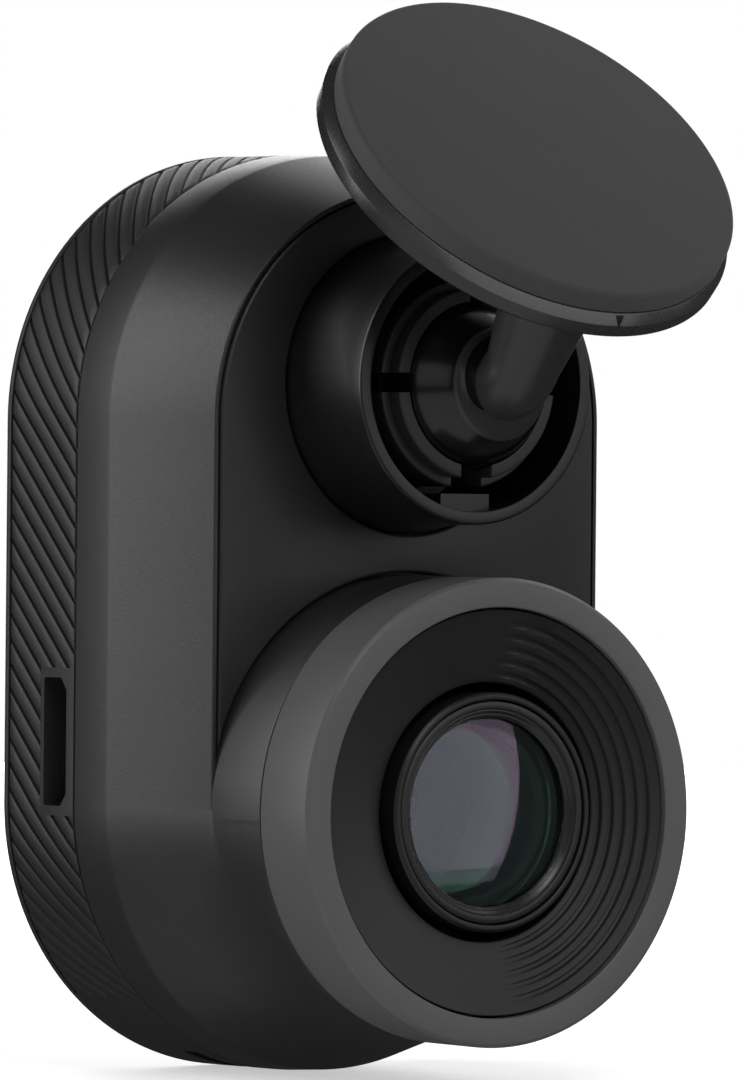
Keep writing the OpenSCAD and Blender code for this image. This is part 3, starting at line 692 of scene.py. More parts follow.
class Frame:
    """Places and sizes of the CAD model, in millimetres, in the body's frame."""

    seam_gap = 0.05

    def __init__(self) -> None:
        """Reads the nodes' boxes."""
        low, high = size_of("rear_housing")
        self.origin = Vector((0, low.y - self.seam_gap, (low.z + high.z) / 2))
        self.back_r = (high.x - low.x) / 2
        self.straight = (high.z - low.z) / 2 - self.back_r
        self.back_y = self.inside(high).y
        self.to_world = Matrix.Diagonal((MM, MM, MM, 1)) @ Matrix.Translation(self.origin)
        low, high = size_of("front_housing")
        self.seam_r = (high.x - low.x) / 2
        self.barrel_y = self.inside(low).y
        low, high = size_of("front_panel")
        self.panel_r = (high.x - low.x) / 2
        self.panel_y = self.inside(low).y
        self.floor_y = self.inside(high).y + 0.03
        low, high = size_of("lens_ring")
        self.ring_r = (high.x - low.x) / 2
        self.ring_y = self.inside(low).y
        self.ring_back_y = self.inside(high).y
        self.lens_z = self.inside((low + high) / 2).z
        low, high = size_of("ribbed_disc")
        self.disc_r = (high.x - low.x) / 2
        self.disc_y = self.inside(low).y
        self.disc_back_y = self.inside(high).y
        low, high = size_of("lens_tube")
        self.tube_r = (high.x - low.x) / 2
        self.tube_y = self.inside(low).y
        low, high = size_of("front_lens")
        self.glass_r = (high.x - low.x) / 2
        self.glass_y = self.inside(low).y
        low, high = size_of("ball")
        self.ball_r = (high.x - low.x) / 2
        self.ball_at = self.inside((low + high) / 2)
        self.socket_z = self.ball_at.z
        self.rim_y = self.inside(size_of("ball_socket")[0]).y
        low, high = size_of("back_cover")
        self.crown_y = self.inside(high).y

    def inside(self, point: Vector) -> Vector:
        """A point of the row frame, in the body's frame."""
        return point - self.origin


# ---------------------------------------------------------------- pieces

class Pieces:
    """Turns forms and CAD nodes into finished pieces."""

    def __init__(self, place: Frame) -> None:
        """Reads the nodes' slots and bodies from the record.

        Args:
            place: The frame that the forms are drawn in.
        """
        self.place = place
        self.slots = {s["node"]: s["material_slot"] for s in frame["record"]["subparts"]}
        self.bodies = {n: b for b, nodes in frame["record"]["behaviour"]["bodies"].items() for n in nodes}

    def finish(self, form: Form, name: str, node: str, look: Finish | Glass, instead: bool = True,
               matrix: Matrix | None = None, sharp: float = SHARP) -> bpy.types.Object:
        """Makes a piece that stands for a CAD node, or that goes with it.

        Args:
            form: The piece's form, which is used up.
            name: The piece's name.
            node: The CAD node whose body it takes.
            look: Its finish.
            instead: Whether it stands for the node.
            matrix: What brings it into the row frame, if it isn't drawn in the body's frame.
            sharp: Smallest angle of a sharp edge, in radians.

        Returns:
            The piece.
        """
        piece = form.temporary()
        piece.name = name
        piece.data.name = name
        piece.data.transform(matrix or self.place.to_world)
        piece.data.polygons.foreach_set("use_smooth", [True] * len(piece.data.polygons))
        piece.data.set_sharp_from_angle(angle=sharp)
        piece.data.materials.append(look.build())
        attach(piece, self.bodies[node])
        if instead:
            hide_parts(node)
        LOG.info("%s: %d faces, %s", name, len(piece.data.polygons), look.name)
        return piece

    def dress(self, look: Finish | Glass, *nodes: str) -> None:
        """Gives CAD nodes a finish and leaves their shapes alone.

        Args:
            look: The finish.
            nodes: The nodes.
        """
        for node in nodes:
            piece = frame["nodes"][node]
            piece.data.materials.clear()
            piece.data.materials.append(look.build())
            LOG.info("%s: CAD shape, %s", node, look.name)

    def smoothed(self, node: str, look: Finish | Glass, soft_mm: float = 0.0) -> bpy.types.Object:
        """Replaces a CAD node by a copy of itself with smooth curves.

        Args:
            node: The node.
            look: Its finish.
            soft_mm: Width of the break on its edges, or 0 for none.

        Returns:
            The copy.
        """
        form = Form()
        form.bm.from_mesh(frame["nodes"][node].data)
        form.moved(Matrix.Diagonal((1 / MM, 1 / MM, 1 / MM, 1)))
        bmesh.ops.remove_doubles(form.bm, verts=form.bm.verts, dist=WELD)
        bmesh.ops.dissolve_limit(form.bm, angle_limit=FLAT, verts=form.bm.verts, edges=form.bm.edges)
        if soft_mm:
            edges = [e for e in form.bm.edges if len(e.link_faces) == 2 and e.calc_face_angle(0) > SHARP]
            bmesh.ops.bevel(form.bm, geom=edges, offset=soft_mm, segments=2, profile=0.5,
                            affect="EDGES", clamp_overlap=True)
        return self.finish(form, f"{node}_piece", node, look, matrix=Matrix.Diagonal((MM, MM, MM, 1)))


# ---------------------------------------------------------------- repeated shapes, as geometry nodes

def open_tree(name: str, sizes: Iterable[str]) -> tuple[Tree, bpy.types.Node, dict[str, str]]:
    """Starts a geometry tree with a mesh, a material and named sizes as its inputs.

    Args:
        name: The tree's name.
        sizes: Names of its numbers. One that starts with "Count" is a whole number, and one that
            starts with "Step" is a vector.

    Returns:
        The tree, its input node and the identifier of each input by name.
    """
    tree = bpy.data.node_groups.new(name, "GeometryNodeTree")
    tree.interface.new_socket("Geometry", in_out="OUTPUT", socket_type="NodeSocketGeometry")
    kinds = {"Geometry": "NodeSocketGeometry", "Material": "NodeSocketMaterial"}
    for size in sizes:
        word = size.split()[0]
        kinds[size] = {"Count": "NodeSocketInt", "Step": "NodeSocketVector"}.get(word, "NodeSocketFloat")
    keys = {name: tree.interface.new_socket(name, in_out="INPUT", socket_type=kind).identifier
            for name, kind in kinds.items()}
    return tree, add_node(tree, "NodeGroupInput"), keys


def row_nodes(tree: Tree, given: bpy.types.Node) -> bpy.types.NodeSocket:
    """Adds the nodes that repeat the tree's mesh in a row of real copies.

    Args:
        tree: The tree.
        given: Its input node, with Count and Step.

    Returns:
        The row's geometry.
    """
    line = add_node(tree, "GeometryNodeMeshLine", {
        "Count": given.outputs["Count"], "Offset": given.outputs["Step"],
    })
    copies = add_node(tree, "GeometryNodeInstanceOnPoints", {
        "Points": line.outputs[0], "Instance": given.outputs["Geometry"],
    })
    return add_node(tree, "GeometryNodeRealizeInstances", {0: copies.outputs[0]}).outputs[0]


def close_tree(tree: Tree, given: bpy.types.Node, shape: bpy.types.NodeSocket) -> None:
    """Ends a tree in Set Material and its output.

    Args:
        tree: The tree.
        given: Its input node.
        shape: The finished geometry.
    """
    dressed = add_node(tree, "GeometryNodeSetMaterial", {
        "Geometry": shape, "Material": given.outputs["Material"],
    })
    add_node(tree, "NodeGroupOutput", {0: dressed.outputs[0]})


def row_tree() -> tuple[Tree, dict[str, str]]:
    """Makes a tree that repeats a mesh along a straight row.

    Returns:
        The tree and the identifier of each input by name.
    """
    tree, given, keys = open_tree("straight_row", ["Count", "Step"])
    close_tree(tree, given, row_nodes(tree, given))
    return tree, keys


def wrapped_row_tree() -> tuple[Tree, dict[str, str]]:
    """Makes a tree that repeats a flat cell along X and wraps the row round the body's outline.

    X runs along the outline, Y is the depth and Z the height over the outline's radius.
    The outline starts at the foot of its right side.

    Returns:
        The tree and the identifier of each input by name.
    """
    sizes = ["Count", "Step", "Radius", "Straight side", "Half turn", "Girth"]
    tree, given, keys = open_tree("rib_band", sizes)
    flat = row_nodes(tree, given)
    side, half_turn, radius = (given.outputs[n] for n in ("Straight side", "Half turn", "Radius"))
    position = add_node(tree, "GeometryNodeInputPosition").outputs[0]
    place = add_node(tree, "ShaderNodeSeparateXYZ", {0: position})
    along = add_node(tree, "ShaderNodeMath", {0: place.outputs[0], 1: given.outputs["Girth"]},
                     operation="FLOORED_MODULO").outputs[0]
    spent = []
    for length in (side, half_turn, side, half_turn):
        part = add_node(tree, "ShaderNodeClamp", {"Value": along, "Min": 0.0, "Max": length}).outputs[0]
        spent.append(part)
        along = add_node(tree, "ShaderNodeMath", {0: along, 1: length}, operation="SUBTRACT").outputs[0]
    turned = add_node(tree, "ShaderNodeMath", {0: spent[1], 1: spent[3]}, operation="ADD").outputs[0]
    angle = add_node(tree, "ShaderNodeMath", {0: turned, 1: radius}, operation="DIVIDE").outputs[0]
    climb = add_node(tree, "ShaderNodeMath", {0: spent[0], 1: spent[2]}, operation="SUBTRACT").outputs[0]
    middle = add_node(tree, "ShaderNodeMath", {0: side, 1: -0.5, 2: climb},
                      operation="MULTIPLY_ADD").outputs[0]
    reach = add_node(tree, "ShaderNodeMath", {0: radius, 1: place.outputs[2]}, operation="ADD").outputs[0]
    across, upward = (add_node(tree, "ShaderNodeMath", {0: angle}, operation=share).outputs[0]
                      for share in ("COSINE", "SINE"))
    x = add_node(tree, "ShaderNodeMath", {0: reach, 1: across}, operation="MULTIPLY").outputs[0]
    z = add_node(tree, "ShaderNodeMath", {0: reach, 1: upward, 2: middle},
                 operation="MULTIPLY_ADD").outputs[0]
    point = add_node(tree, "ShaderNodeCombineXYZ", {0: x, 1: place.outputs[1], 2: z}).outputs[0]
    wrapped = add_node(tree, "GeometryNodeSetPosition", {"Geometry": flat, "Position": point}).outputs[0]
    whole = add_node(tree, "GeometryNodeMergeByDistance", {
        "Geometry": wrapped, "Distance": RIB_MERGE,
    }).outputs[0]
    close_tree(tree, given, whole)
    return tree, keys


def grown(cell: Form, made: tuple[Tree, dict[str, str]], look: Finish, **sizes: Any) -> Form:
    """Runs a geometry tree on a form and keeps the result as a plain mesh.

    Args:
        cell: The form that is repeated, which is used up.
        made: The tree and its inputs' identifiers.
        look: Finish of the result.
        sizes: The tree's sizes, with _ for a space.

    Returns:
        The result.
    """
    tree, keys = made
    holder = cell.temporary()
    growth = holder.modifiers.new("growth", "NODES")
    growth.node_group = tree
    growth[keys["Material"]] = look.build()
    for name, value in sizes.items():
        growth[keys[name.replace("_", " ")]] = value
    mesh = evaluated_mesh(holder)
    bpy.data.objects.remove(holder)
    form = Form()
    form.bm.from_mesh(mesh)
    bpy.data.meshes.remove(mesh)
    bmesh.ops.recalc_face_normals(form.bm, faces=form.bm.faces)
    return form


# ---------------------------------------------------------------- shared shapes

def eased(before: Point, corner: Point, after: Point, reach: float, steps: int = 6) -> list[Point]:
    """Rounds one corner with a soft curve that keeps the same number of points at any reach.

    Args:
        before: Point before the corner.
        corner: The corner.
        after: Point after the corner.
        reach: Distance from the corner at which the curve begins.
        steps: Number of straight pieces.

    Returns:
        The curve's points.
    """
    middle = Vector(corner)
    first = middle + (Vector(before) - middle).normalized() * reach
    last = middle + (Vector(after) - middle).normalized() * reach
    made = []
    for i in range(steps + 1):
        t = i / steps
        made.append(tuple(first * (1 - t) ** 2 + middle * 2 * t * (1 - t) + last * t * t))
    return made


def smooth_step(value: float) -> float:
    """A share that rises softly from 0 to 1."""
    t = min(max(value, 0.0), 1.0)
    return t * t * (3 - 2 * t)


def shrunk(points: Sequence[Point], share: float = 0.999) -> list[Point]:
    """Draws a section in a little towards its middle, so that it ends inside the solid it joins.

    Args:
        points: The section.
        share: What is left of its size.

    Returns:
        The smaller section.
    """
    u = sum(p[0] for p in points) / len(points)
    v = sum(p[1] for p in points) / len(points)
    return [(u + (p[0] - u) * share, v + (p[1] - v) * share) for p in points]


def pill_bar(length: float, width: float, y0: float, y1: float, z: float = 0.0) -> Form:
    """A bar along Y with a round-ended section, longer along X."""
    return Form().slab([(0, y0), (0, y1)], lambda inset: [pill_loop(length, width, inset, z=z)])


def ball_form(centre: Vector, radius: float, count: int = 96, ridge: float = 0.0) -> Form:
    """A ball turned about an axis along Y.

    Args:
        centre: Its centre.
        radius: Its radius.
        count: Number of steps round it.
        ridge: Height of the parting line that its mould leaves, or 0 for none.

    Returns:
        The ball.
    """
    half = count // 2
    arc = []
    for i in range(half + 1):
        turn = -math.pi / 2 + math.pi * i / half
        arc.append((radius * math.cos(turn), centre.y + radius * math.sin(turn)))
    arc[0], arc[-1] = (0.0, arc[0][1]), (0.0, arc[-1][1])
    if ridge:
        line = PARTING_LINE / 2
        middle = half // 2
        arc[middle:middle + 1] = [(radius, centre.y - line), (radius + ridge, centre.y),
                                  (radius, centre.y + line)]
    return Form().sweep(arc, ring_path(centre.z, count, x=centre.x))


# ---------------------------------------------------------------- sub-assemblies

@dataclass
class WindscreenMount:
    """The adhesive pad, its plate and the stem that carries the ball.

    The pad and plate are turned about an axis along Y with the adhesive face at zero and then leaned
    over to the glass.
    """

    pieces: Pieces
    face_rise: float = 45.0
    pad_t: float = 1.3
    pad_edge: float = 0.3
    plate_edge: float = 1.07
    plate_bevel: float = 0.6
    plate_soft: float = 0.08
    rear_chamfer: float = 0.35
    pad_gap: float = 0.02
    groove_in: float = 0.25
    groove_out: float = 0.05
    notch: float = 0.75
    neck_r: float = 2.1
    neck_len: float = 5.3
    flare: float = 1.1
    stem_r: float = 3.4
    stem_len: float = 11.0
    stem_rise: float = 57.0
    bend: float = 1.3
    seat_gap: float = 0.03

    def __post_init__(self) -> None:
        """Reads the radii of the two discs and works out the lean of the glass."""
        self.pad_r = size_of("adhesive_pad")[1].x
        self.plate_r = size_of("mount_plate")[1].x
        self.mount_t = self.pad_t + self.plate_edge + self.plate_bevel
        self.lean = Matrix.Rotation(math.radians(self.face_rise - 90), 4, "X")
        self.to_world = Matrix.Diagonal((MM, MM, MM, 1)) @ self.lean

    def pad(self) -> bpy.types.Object:
        """Makes the foam pad.

        Returns:
            The piece.
        """
        section = rounded([
            (0, 0, 0), (self.pad_r, 0, self.pad_edge), (self.pad_r, self.pad_t, self.plate_soft),
            (0, self.pad_t, 0),
        ], closed=False)
        form = Form().sweep(section, ring_path(0, 160))
        return self.pieces.finish(form, "foam_pad", "adhesive_pad", FOAM, matrix=self.to_world)

    def plate(self) -> bpy.types.Object:
        """Makes the plate, with the alignment notch at the lowest point of its chamfer.

        Returns:
            The piece.
        """
        back, soft, chamfer = self.mount_t, self.plate_soft, self.rear_chamfer
        face, groove = self.pad_t + self.pad_gap, self.pad_r - self.groove_in
        section = rounded([
            (0, face, 0), (groove, face, 0), (groove + 0.03, face + 0.04, 0),
            (self.pad_r + self.groove_out, face, 0.03),
            (self.plate_r, self.pad_t + self.plate_bevel, soft), (self.plate_r, back - 0.3, soft),
            (self.plate_r - chamfer, back, soft), (0, back, 0),
        ], steps=4, closed=False)
        form = Form().sweep(section, ring_path(0, 160))
        half = self.notch / 2
        low = -self.plate_r + chamfer
        corners = [(-half, self.pad_t - 0.1), (half, self.pad_t - 0.1), (0, self.pad_t + self.notch)]
        rings = [[Vector((x, y, z)) for x, y in corners] for z in (low, low - 1)]
        form.cut(Form().loft(rings, loop=False))
        return self.pieces.finish(form, "glass_plate", "mount_plate", PLATE, matrix=self.to_world)

    def _ring(self, centre: Vector, direction: Vector, radius: float, count: int = 64) -> Loop:
        """Makes one round section of the stem.

        Args:
            centre: Its centre.
            direction: The way the stem runs there.
            radius: Its radius.
            count: Number of points.

        Returns:
            The section's points.
        """
        across = Vector((1, 0, 0))
        side = direction.cross(across)
        angles = (2 * math.pi * k / count for k in range(count))
        return [centre + (across * math.cos(a) + side * math.sin(a)) * radius for a in angles]

    def stem(self) -> bpy.types.Object:
        """Makes the neck and the tapered stem, seated on the ball and flat against the plate.

        Returns:
            The piece.
        """
        place = self.pieces.place
        rise = math.radians(self.stem_rise)
        along = Vector((0, -math.cos(rise), math.sin(rise)))
        elbow = place.ball_at + Vector((0, -self.neck_len, 0))
        flared = place.ball_r + self.flare
        rings = []
        straight = self.neck_len - self.bend
        start = place.ball_r - 1
        for i in range(9):
            reach = start + (straight - start) * i / 8
            swell = self.flare * max(0.0, 1 - (reach - start) / (flared - start)) ** 2
            neck = place.ball_at + Vector((0, -reach, 0))
            rings.append(self._ring(neck, Vector((0, -1, 0)), self.neck_r + swell))
        before, after = elbow + Vector((0, self.bend, 0)), elbow + along * self.bend
        for i in range(1, 10):
            t = i / 10
            middle = before.lerp(elbow, t).lerp(elbow.lerp(after, t), t)
            direction = Vector((0, -math.cos(rise * t), math.sin(rise * t)))
            rings.append(self._ring(middle, direction, self.neck_r))
        for i in range(13):
            reach = self.bend + (self.stem_len - self.bend) * i / 12
            share = max(0.0, reach - self.bend) / (self.stem_len - self.bend)
            radius = self.neck_r + (self.stem_r - self.neck_r) * share
            rings.append(self._ring(elbow + along * reach, along, radius))
        form = Form().loft(rings, loop=False)
        form.cut(ball_form(place.ball_at, place.ball_r + self.seat_gap))
        far = 2 * self.plate_r
        beyond = block((-far, -far, -far), (far, self.mount_t + self.pad_gap, far))
        form.cut(beyond.moved(Matrix.Translation(-place.origin) @ self.lean))
        return self.pieces.finish(form, "neck_and_stem", "ball_stem", STEM)

    def build(self) -> None:
        """Makes the mount's pieces."""
        self.pad()
        self.plate()
        self.stem()


@dataclass
class BallJoint:
    """The ball, the split collet that holds it and the socket on the front of the body."""

    pieces: Pieces
    cup_gap: float = 0.08
    lip: float = 0.5
    lip_len: float = 1.0
    slot_w: float = 1.1
    key_slot_w: float = 2.1
    slot_end: float = 2.6
    bore_r: float = 7.15
    rim_r: float = 7.9
    foot_r: float = SOCKET_FOOT_R
    flare_start: float = 0.15
    flare_power: float = 2.6
    key_w: float = 3.3
    key_setback: float = 1.1
    cup_bottom: float = 0.9
    slot_in: float = 3.0
    slot_out: float = 11.0

    def ball(self) -> bpy.types.Object:
        """Makes the ball, with the faint parting line of its mould.

        Returns:
            The piece.
        """
        place = self.pieces.place
        form = ball_form(place.ball_at, place.ball_r - 0.02, 128, 0.01)
        return self.pieces.finish(form, "acetal_ball", "ball", BALL)

    def collet(self) -> bpy.types.Object:
        """Makes the collet: a cup with a lip, split by four slots.

        Returns:
            The piece.
        """
        place = self.pieces.place
        low, high = (place.inside(p) for p in size_of("collet"))
        wall_r, lip_r, centre = high.x, place.ball_r + self.lip, place.ball_at
        lip_y, shoulder_y = low.y, low.y + self.lip_len
        back_y = centre.y + place.ball_r + self.cup_gap + self.cup_bottom
        section = rounded([
            (0, lip_y, 0), (lip_r, lip_y, 0.12), (lip_r, shoulder_y, 0), (wall_r, shoulder_y, 0.12),
            (wall_r, back_y, 0.1), (0, back_y, 0),
        ], steps=4, closed=False)
        form = Form().sweep(section, ring_path(centre.z, 128))
        form.cut(ball_form(centre, place.ball_r + self.cup_gap, 128))
        half, wide = self.slot_w / 2, self.key_slot_w / 2
        end_y = centre.y + self.slot_end
        x, y, z = centre.x, lip_y - 1, centre.z
        near, far = self.slot_in, self.slot_out
        form.cut(block((x - far, y, z - half), (x - near, end_y, z + half)))
        form.cut(block((x + near, y, z - half), (x + far, end_y, z + half)))
        form.cut(block((x - half, y, z + near), (x + half, end_y, z + far)))
        form.cut(block((x - wide, y, z - far), (x + wide, end_y, z - near)))
        return self.pieces.finish(form, "split_collet", "collet", COLLET)

    def socket(self) -> bpy.types.Object:
        """Makes the socket: a boss with a hollow flare, a bore and the key at the foot of the bore.

        Returns:
            The piece.
        """
        place = self.pieces.place
        rim, panel = place.rim_y, place.panel_y
        floor = place.inside(size_of("collet")[1]).y
        length = panel - rim
        swell, start, steps = self.foot_r - self.rim_r, self.flare_start, 14
        flare = [(self.rim_r + swell * (i / steps) ** self.flare_power,
                  rim + length * (start + (1 - start) * i / steps)) for i in range(steps + 1)]
        section = [(0, floor)] + eased((0, floor), (self.bore_r, floor), (self.bore_r, rim), 0.3, 4)
        section += eased((self.bore_r, floor), (self.bore_r, rim), (self.rim_r, rim), 0.1, 4)
        section += eased((self.bore_r, rim), (self.rim_r, rim), flare[0], 0.16, 5)
        section += flare + [(self.foot_r, panel + 3), (0, panel + 3)]
        form = Form().sweep(section, ring_path(place.socket_z, 160))
        key_top = place.socket_z - place.inside(size_of("collet")[1]).x - 0.3
        key_y = place.inside(size_of("collet")[0]).y + self.key_setback
        key = block((-self.key_w / 2, key_y, place.socket_z - self.bore_r - 0.3),
                    (self.key_w / 2, floor + 0.2, key_top))
        form.join(key)
        return self.pieces.finish(form, "socket_boss", "ball_socket", SOCKET)

    def build(self) -> None:
        """Makes the joint's pieces."""
        self.ball()
        self.collet()
        self.socket()
        self.pieces.dress(STEEL, "socket_screws")


@dataclass
class FrontShell:
    """The front housing with its lens barrel, and the panel on its face."""

    pieces: Pieces
    wall: float = 1.4
    lip_w: float = 0.25
    crease_drop: float = 0.2
    crease_y: float = -3.2
    taper_len: float = 7.5
    front_r: float = 13.2
    barrel_draft: float = 0.12
    blend: float = 3.4
    blend_onset: float = 0.6
    barrel_foot: float = 0.6
    floor_t: float = 1.3
    floor_r: float = 12.4
    upper_lap_r: float = 12.0
    lower_lap_r: float = 12.3
    lens_bore_r: float = 8.0
    socket_bore_r: float = 8.45
    panel_edge: float = 0.2
    gap: float = 0.08

    def __post_init__(self) -> None:
        """Works out the wall's planes."""
        place = self.pieces.place
        self.crease_r = place.seam_r - self.crease_drop
        self.front_y = self.crease_y - self.taper_len
        self.inner_y = place.floor_y + self.floor_t
        self.barrel_end_r = self.front_r - self.barrel_draft
        self.bore_r = self.barrel_end_r - self.wall

    def _band(self) -> list[Point]:
        """The straight band from the seam to the crease, as the outer part of every section.

        Returns:
            Its points.
        """
        r, seam_y = self.pieces.place.seam_r, -Frame.seam_gap
        crease = (self.crease_r, self.crease_y)
        points = eased((r - 1, seam_y), (r, seam_y), crease, 0.1, 3)
        return points + eased((r, seam_y), crease, (self.front_r, self.front_y), 0.22, 4)

    def _inside_wall(self) -> list[Point]:
        """The inner face of the wall, from the front to the seam."""
        seam_r = self.pieces.place.seam_r
        return [(self.crease_r - self.wall, self.crease_y), (seam_r - self.wall, -Frame.seam_gap)]

    def _barrel_end(self) -> list[Point]:
        """The barrel's end, from outside to inside.

        Returns:
            Its points.
        """
        end = self.pieces.place.barrel_y
        outer = (self.barrel_end_r, end)
        return eased((self.front_r, self.front_y), outer, (self.bore_r, end), 0.1, 3) + [(self.bore_r, end)]

    def _upper_section(self, station: Station) -> list[Point]:
        """Section with the lip round the panel, for the sides and the top.

        Args:
            station: The place that the section is for.

        Returns:
            The section.
        """
        corner, inner = (self.front_r, self.front_y), (self.front_r - self.lip_w, self.front_y)
        floor = (inner[0], self.pieces.place.floor_y)
        crease = (self.crease_r, self.crease_y)
        points = self._band() + eased(crease, corner, inner, 0.09, 4) + eased(corner, inner, floor, 0.06, 3)
        points += [floor, (self.upper_lap_r, floor[1]), (self.upper_lap_r, self.inner_y)]
        points += self._inside_wall()
        return shrunk(points) if station.z < 0 and station.dz < -WELD else points

    def _lower_section(self, station: Station) -> list[Point]:
        """Section that runs on into the barrel, blended the more softly the lower it is.

        Args:
            station: The place that the section is for.

        Returns:
            The section.
        """
        place = self.pieces.place
        reach = 0.06 + self.blend * smooth_step(-station.dz / self.blend_onset)
        crease, corner, end = ((self.crease_r, self.crease_y), (self.front_r, self.front_y),
                               (self.barrel_end_r, place.barrel_y))
        points = self._band() + eased(crease, corner, end, reach, 10) + self._barrel_end()
        return points + [(self.bore_r, self.inner_y), (self.lower_lap_r, self.inner_y)] + self._inside_wall()

    def _barrel_section(self, station: Station) -> list[Point]:
        """Section of the barrel's upper half, which stands on the floor under the panel.

        Args:
            station: The place that the section is for.

        Returns:
            The section.
        """
        foot_y = self.pieces.place.floor_y + self.barrel_foot
        points = [(self.bore_r, foot_y), (self.front_r, foot_y), (self.front_r, self.front_y)]
        points += self._barrel_end()
        return shrunk(points) if station.dz < -WELD else points

    def housing(self) -> bpy.types.Object:
        """Makes the front housing.

        Returns:
            The piece.
        """
        place = self.pieces.place
        overlap = math.radians(2)
        half = place.straight
        ends = [ring_path(place.lens_z, 2, a, overlap) for a in (-overlap, math.pi)]
        top = ring_path(half, 97, 0, math.pi)
        form = Form().sweep(self._upper_section, ends[0] + top + ends[1], loop=False)
        lower = Form().sweep(self._lower_section, ring_path(place.lens_z, 97, math.pi, math.pi), loop=False)
        arc = ring_path(place.lens_z, 97, 0, math.pi)
        barrel = Form().sweep(self._barrel_section, ends[0][:1] + arc + ends[1][1:], loop=False)
        form.join(lower, barrel)
        floor, lens, socket = self.floor_r, self.lens_bore_r, self.socket_bore_r
        form.join(Form().slab([(0, place.floor_y + 0.1), (0, self.inner_y - 0.1)], lambda inset: [
            [Vector((s.x + floor * s.dx, s.z + floor * s.dz)) for s in outline_path(half, 64)],
            [Vector((lens * s.dx, place.lens_z + lens * s.dz)) for s in ring_path(0, 96)],
            [Vector((socket * s.dx, place.socket_z + socket * s.dz)) for s in ring_path(0, 96)],
        ]))
        return self.pieces.finish(form, "front_shell", "front_housing", HOUSING, sharp=math.radians(40))

    def _panel_loops(self, inset: float) -> list[Loop]:
        """Outline of the panel at an inset: its rim above the barrel, and the hole for the socket.

        Args:
            inset: How far the rim is drawn in and the hole is opened.

        Returns:
            The outer loop and the hole.
        """
        place = self.pieces.place
        r = place.panel_r - inset
        arc_r = self.front_r + self.gap + inset
        start = math.acos(r / arc_r)
        outer = [Vector((r * math.cos(a), place.straight + r * math.sin(a)))
                 for a in (math.pi * i / 96 for i in range(97))]
        outer += [Vector((arc_r * math.cos(a), place.lens_z + arc_r * math.sin(a)))
                  for a in (math.pi - start - (math.pi - 2 * start) * i / 96 for i in range(97))]
        hole_r = SOCKET_FOOT_R + self.gap + inset
        hole = [Vector((hole_r * s.dx, place.socket_z + hole_r * s.dz)) for s in ring_path(0, 128)]
        return [outer, hole]

    def panel(self) -> bpy.types.Object:
        """Makes the front panel, with its softly rounded rim.

        Returns:
            The piece.
        """
        place = self.pieces.place
        edge = self.panel_edge
        levels = [(edge * (1 - math.sin(a)), place.panel_y + edge * (1 - math.cos(a)))
                  for a in (math.pi / 2 * i / 4 for i in range(5))]
        levels.append((0, place.floor_y - 0.03))
        form = Form().slab(levels, self._panel_loops)
        return self.pieces.finish(form, "front_face", "front_panel", PANEL)

    def build(self) -> None:
        """Makes the front of the body."""
        self.housing()
        self.panel()


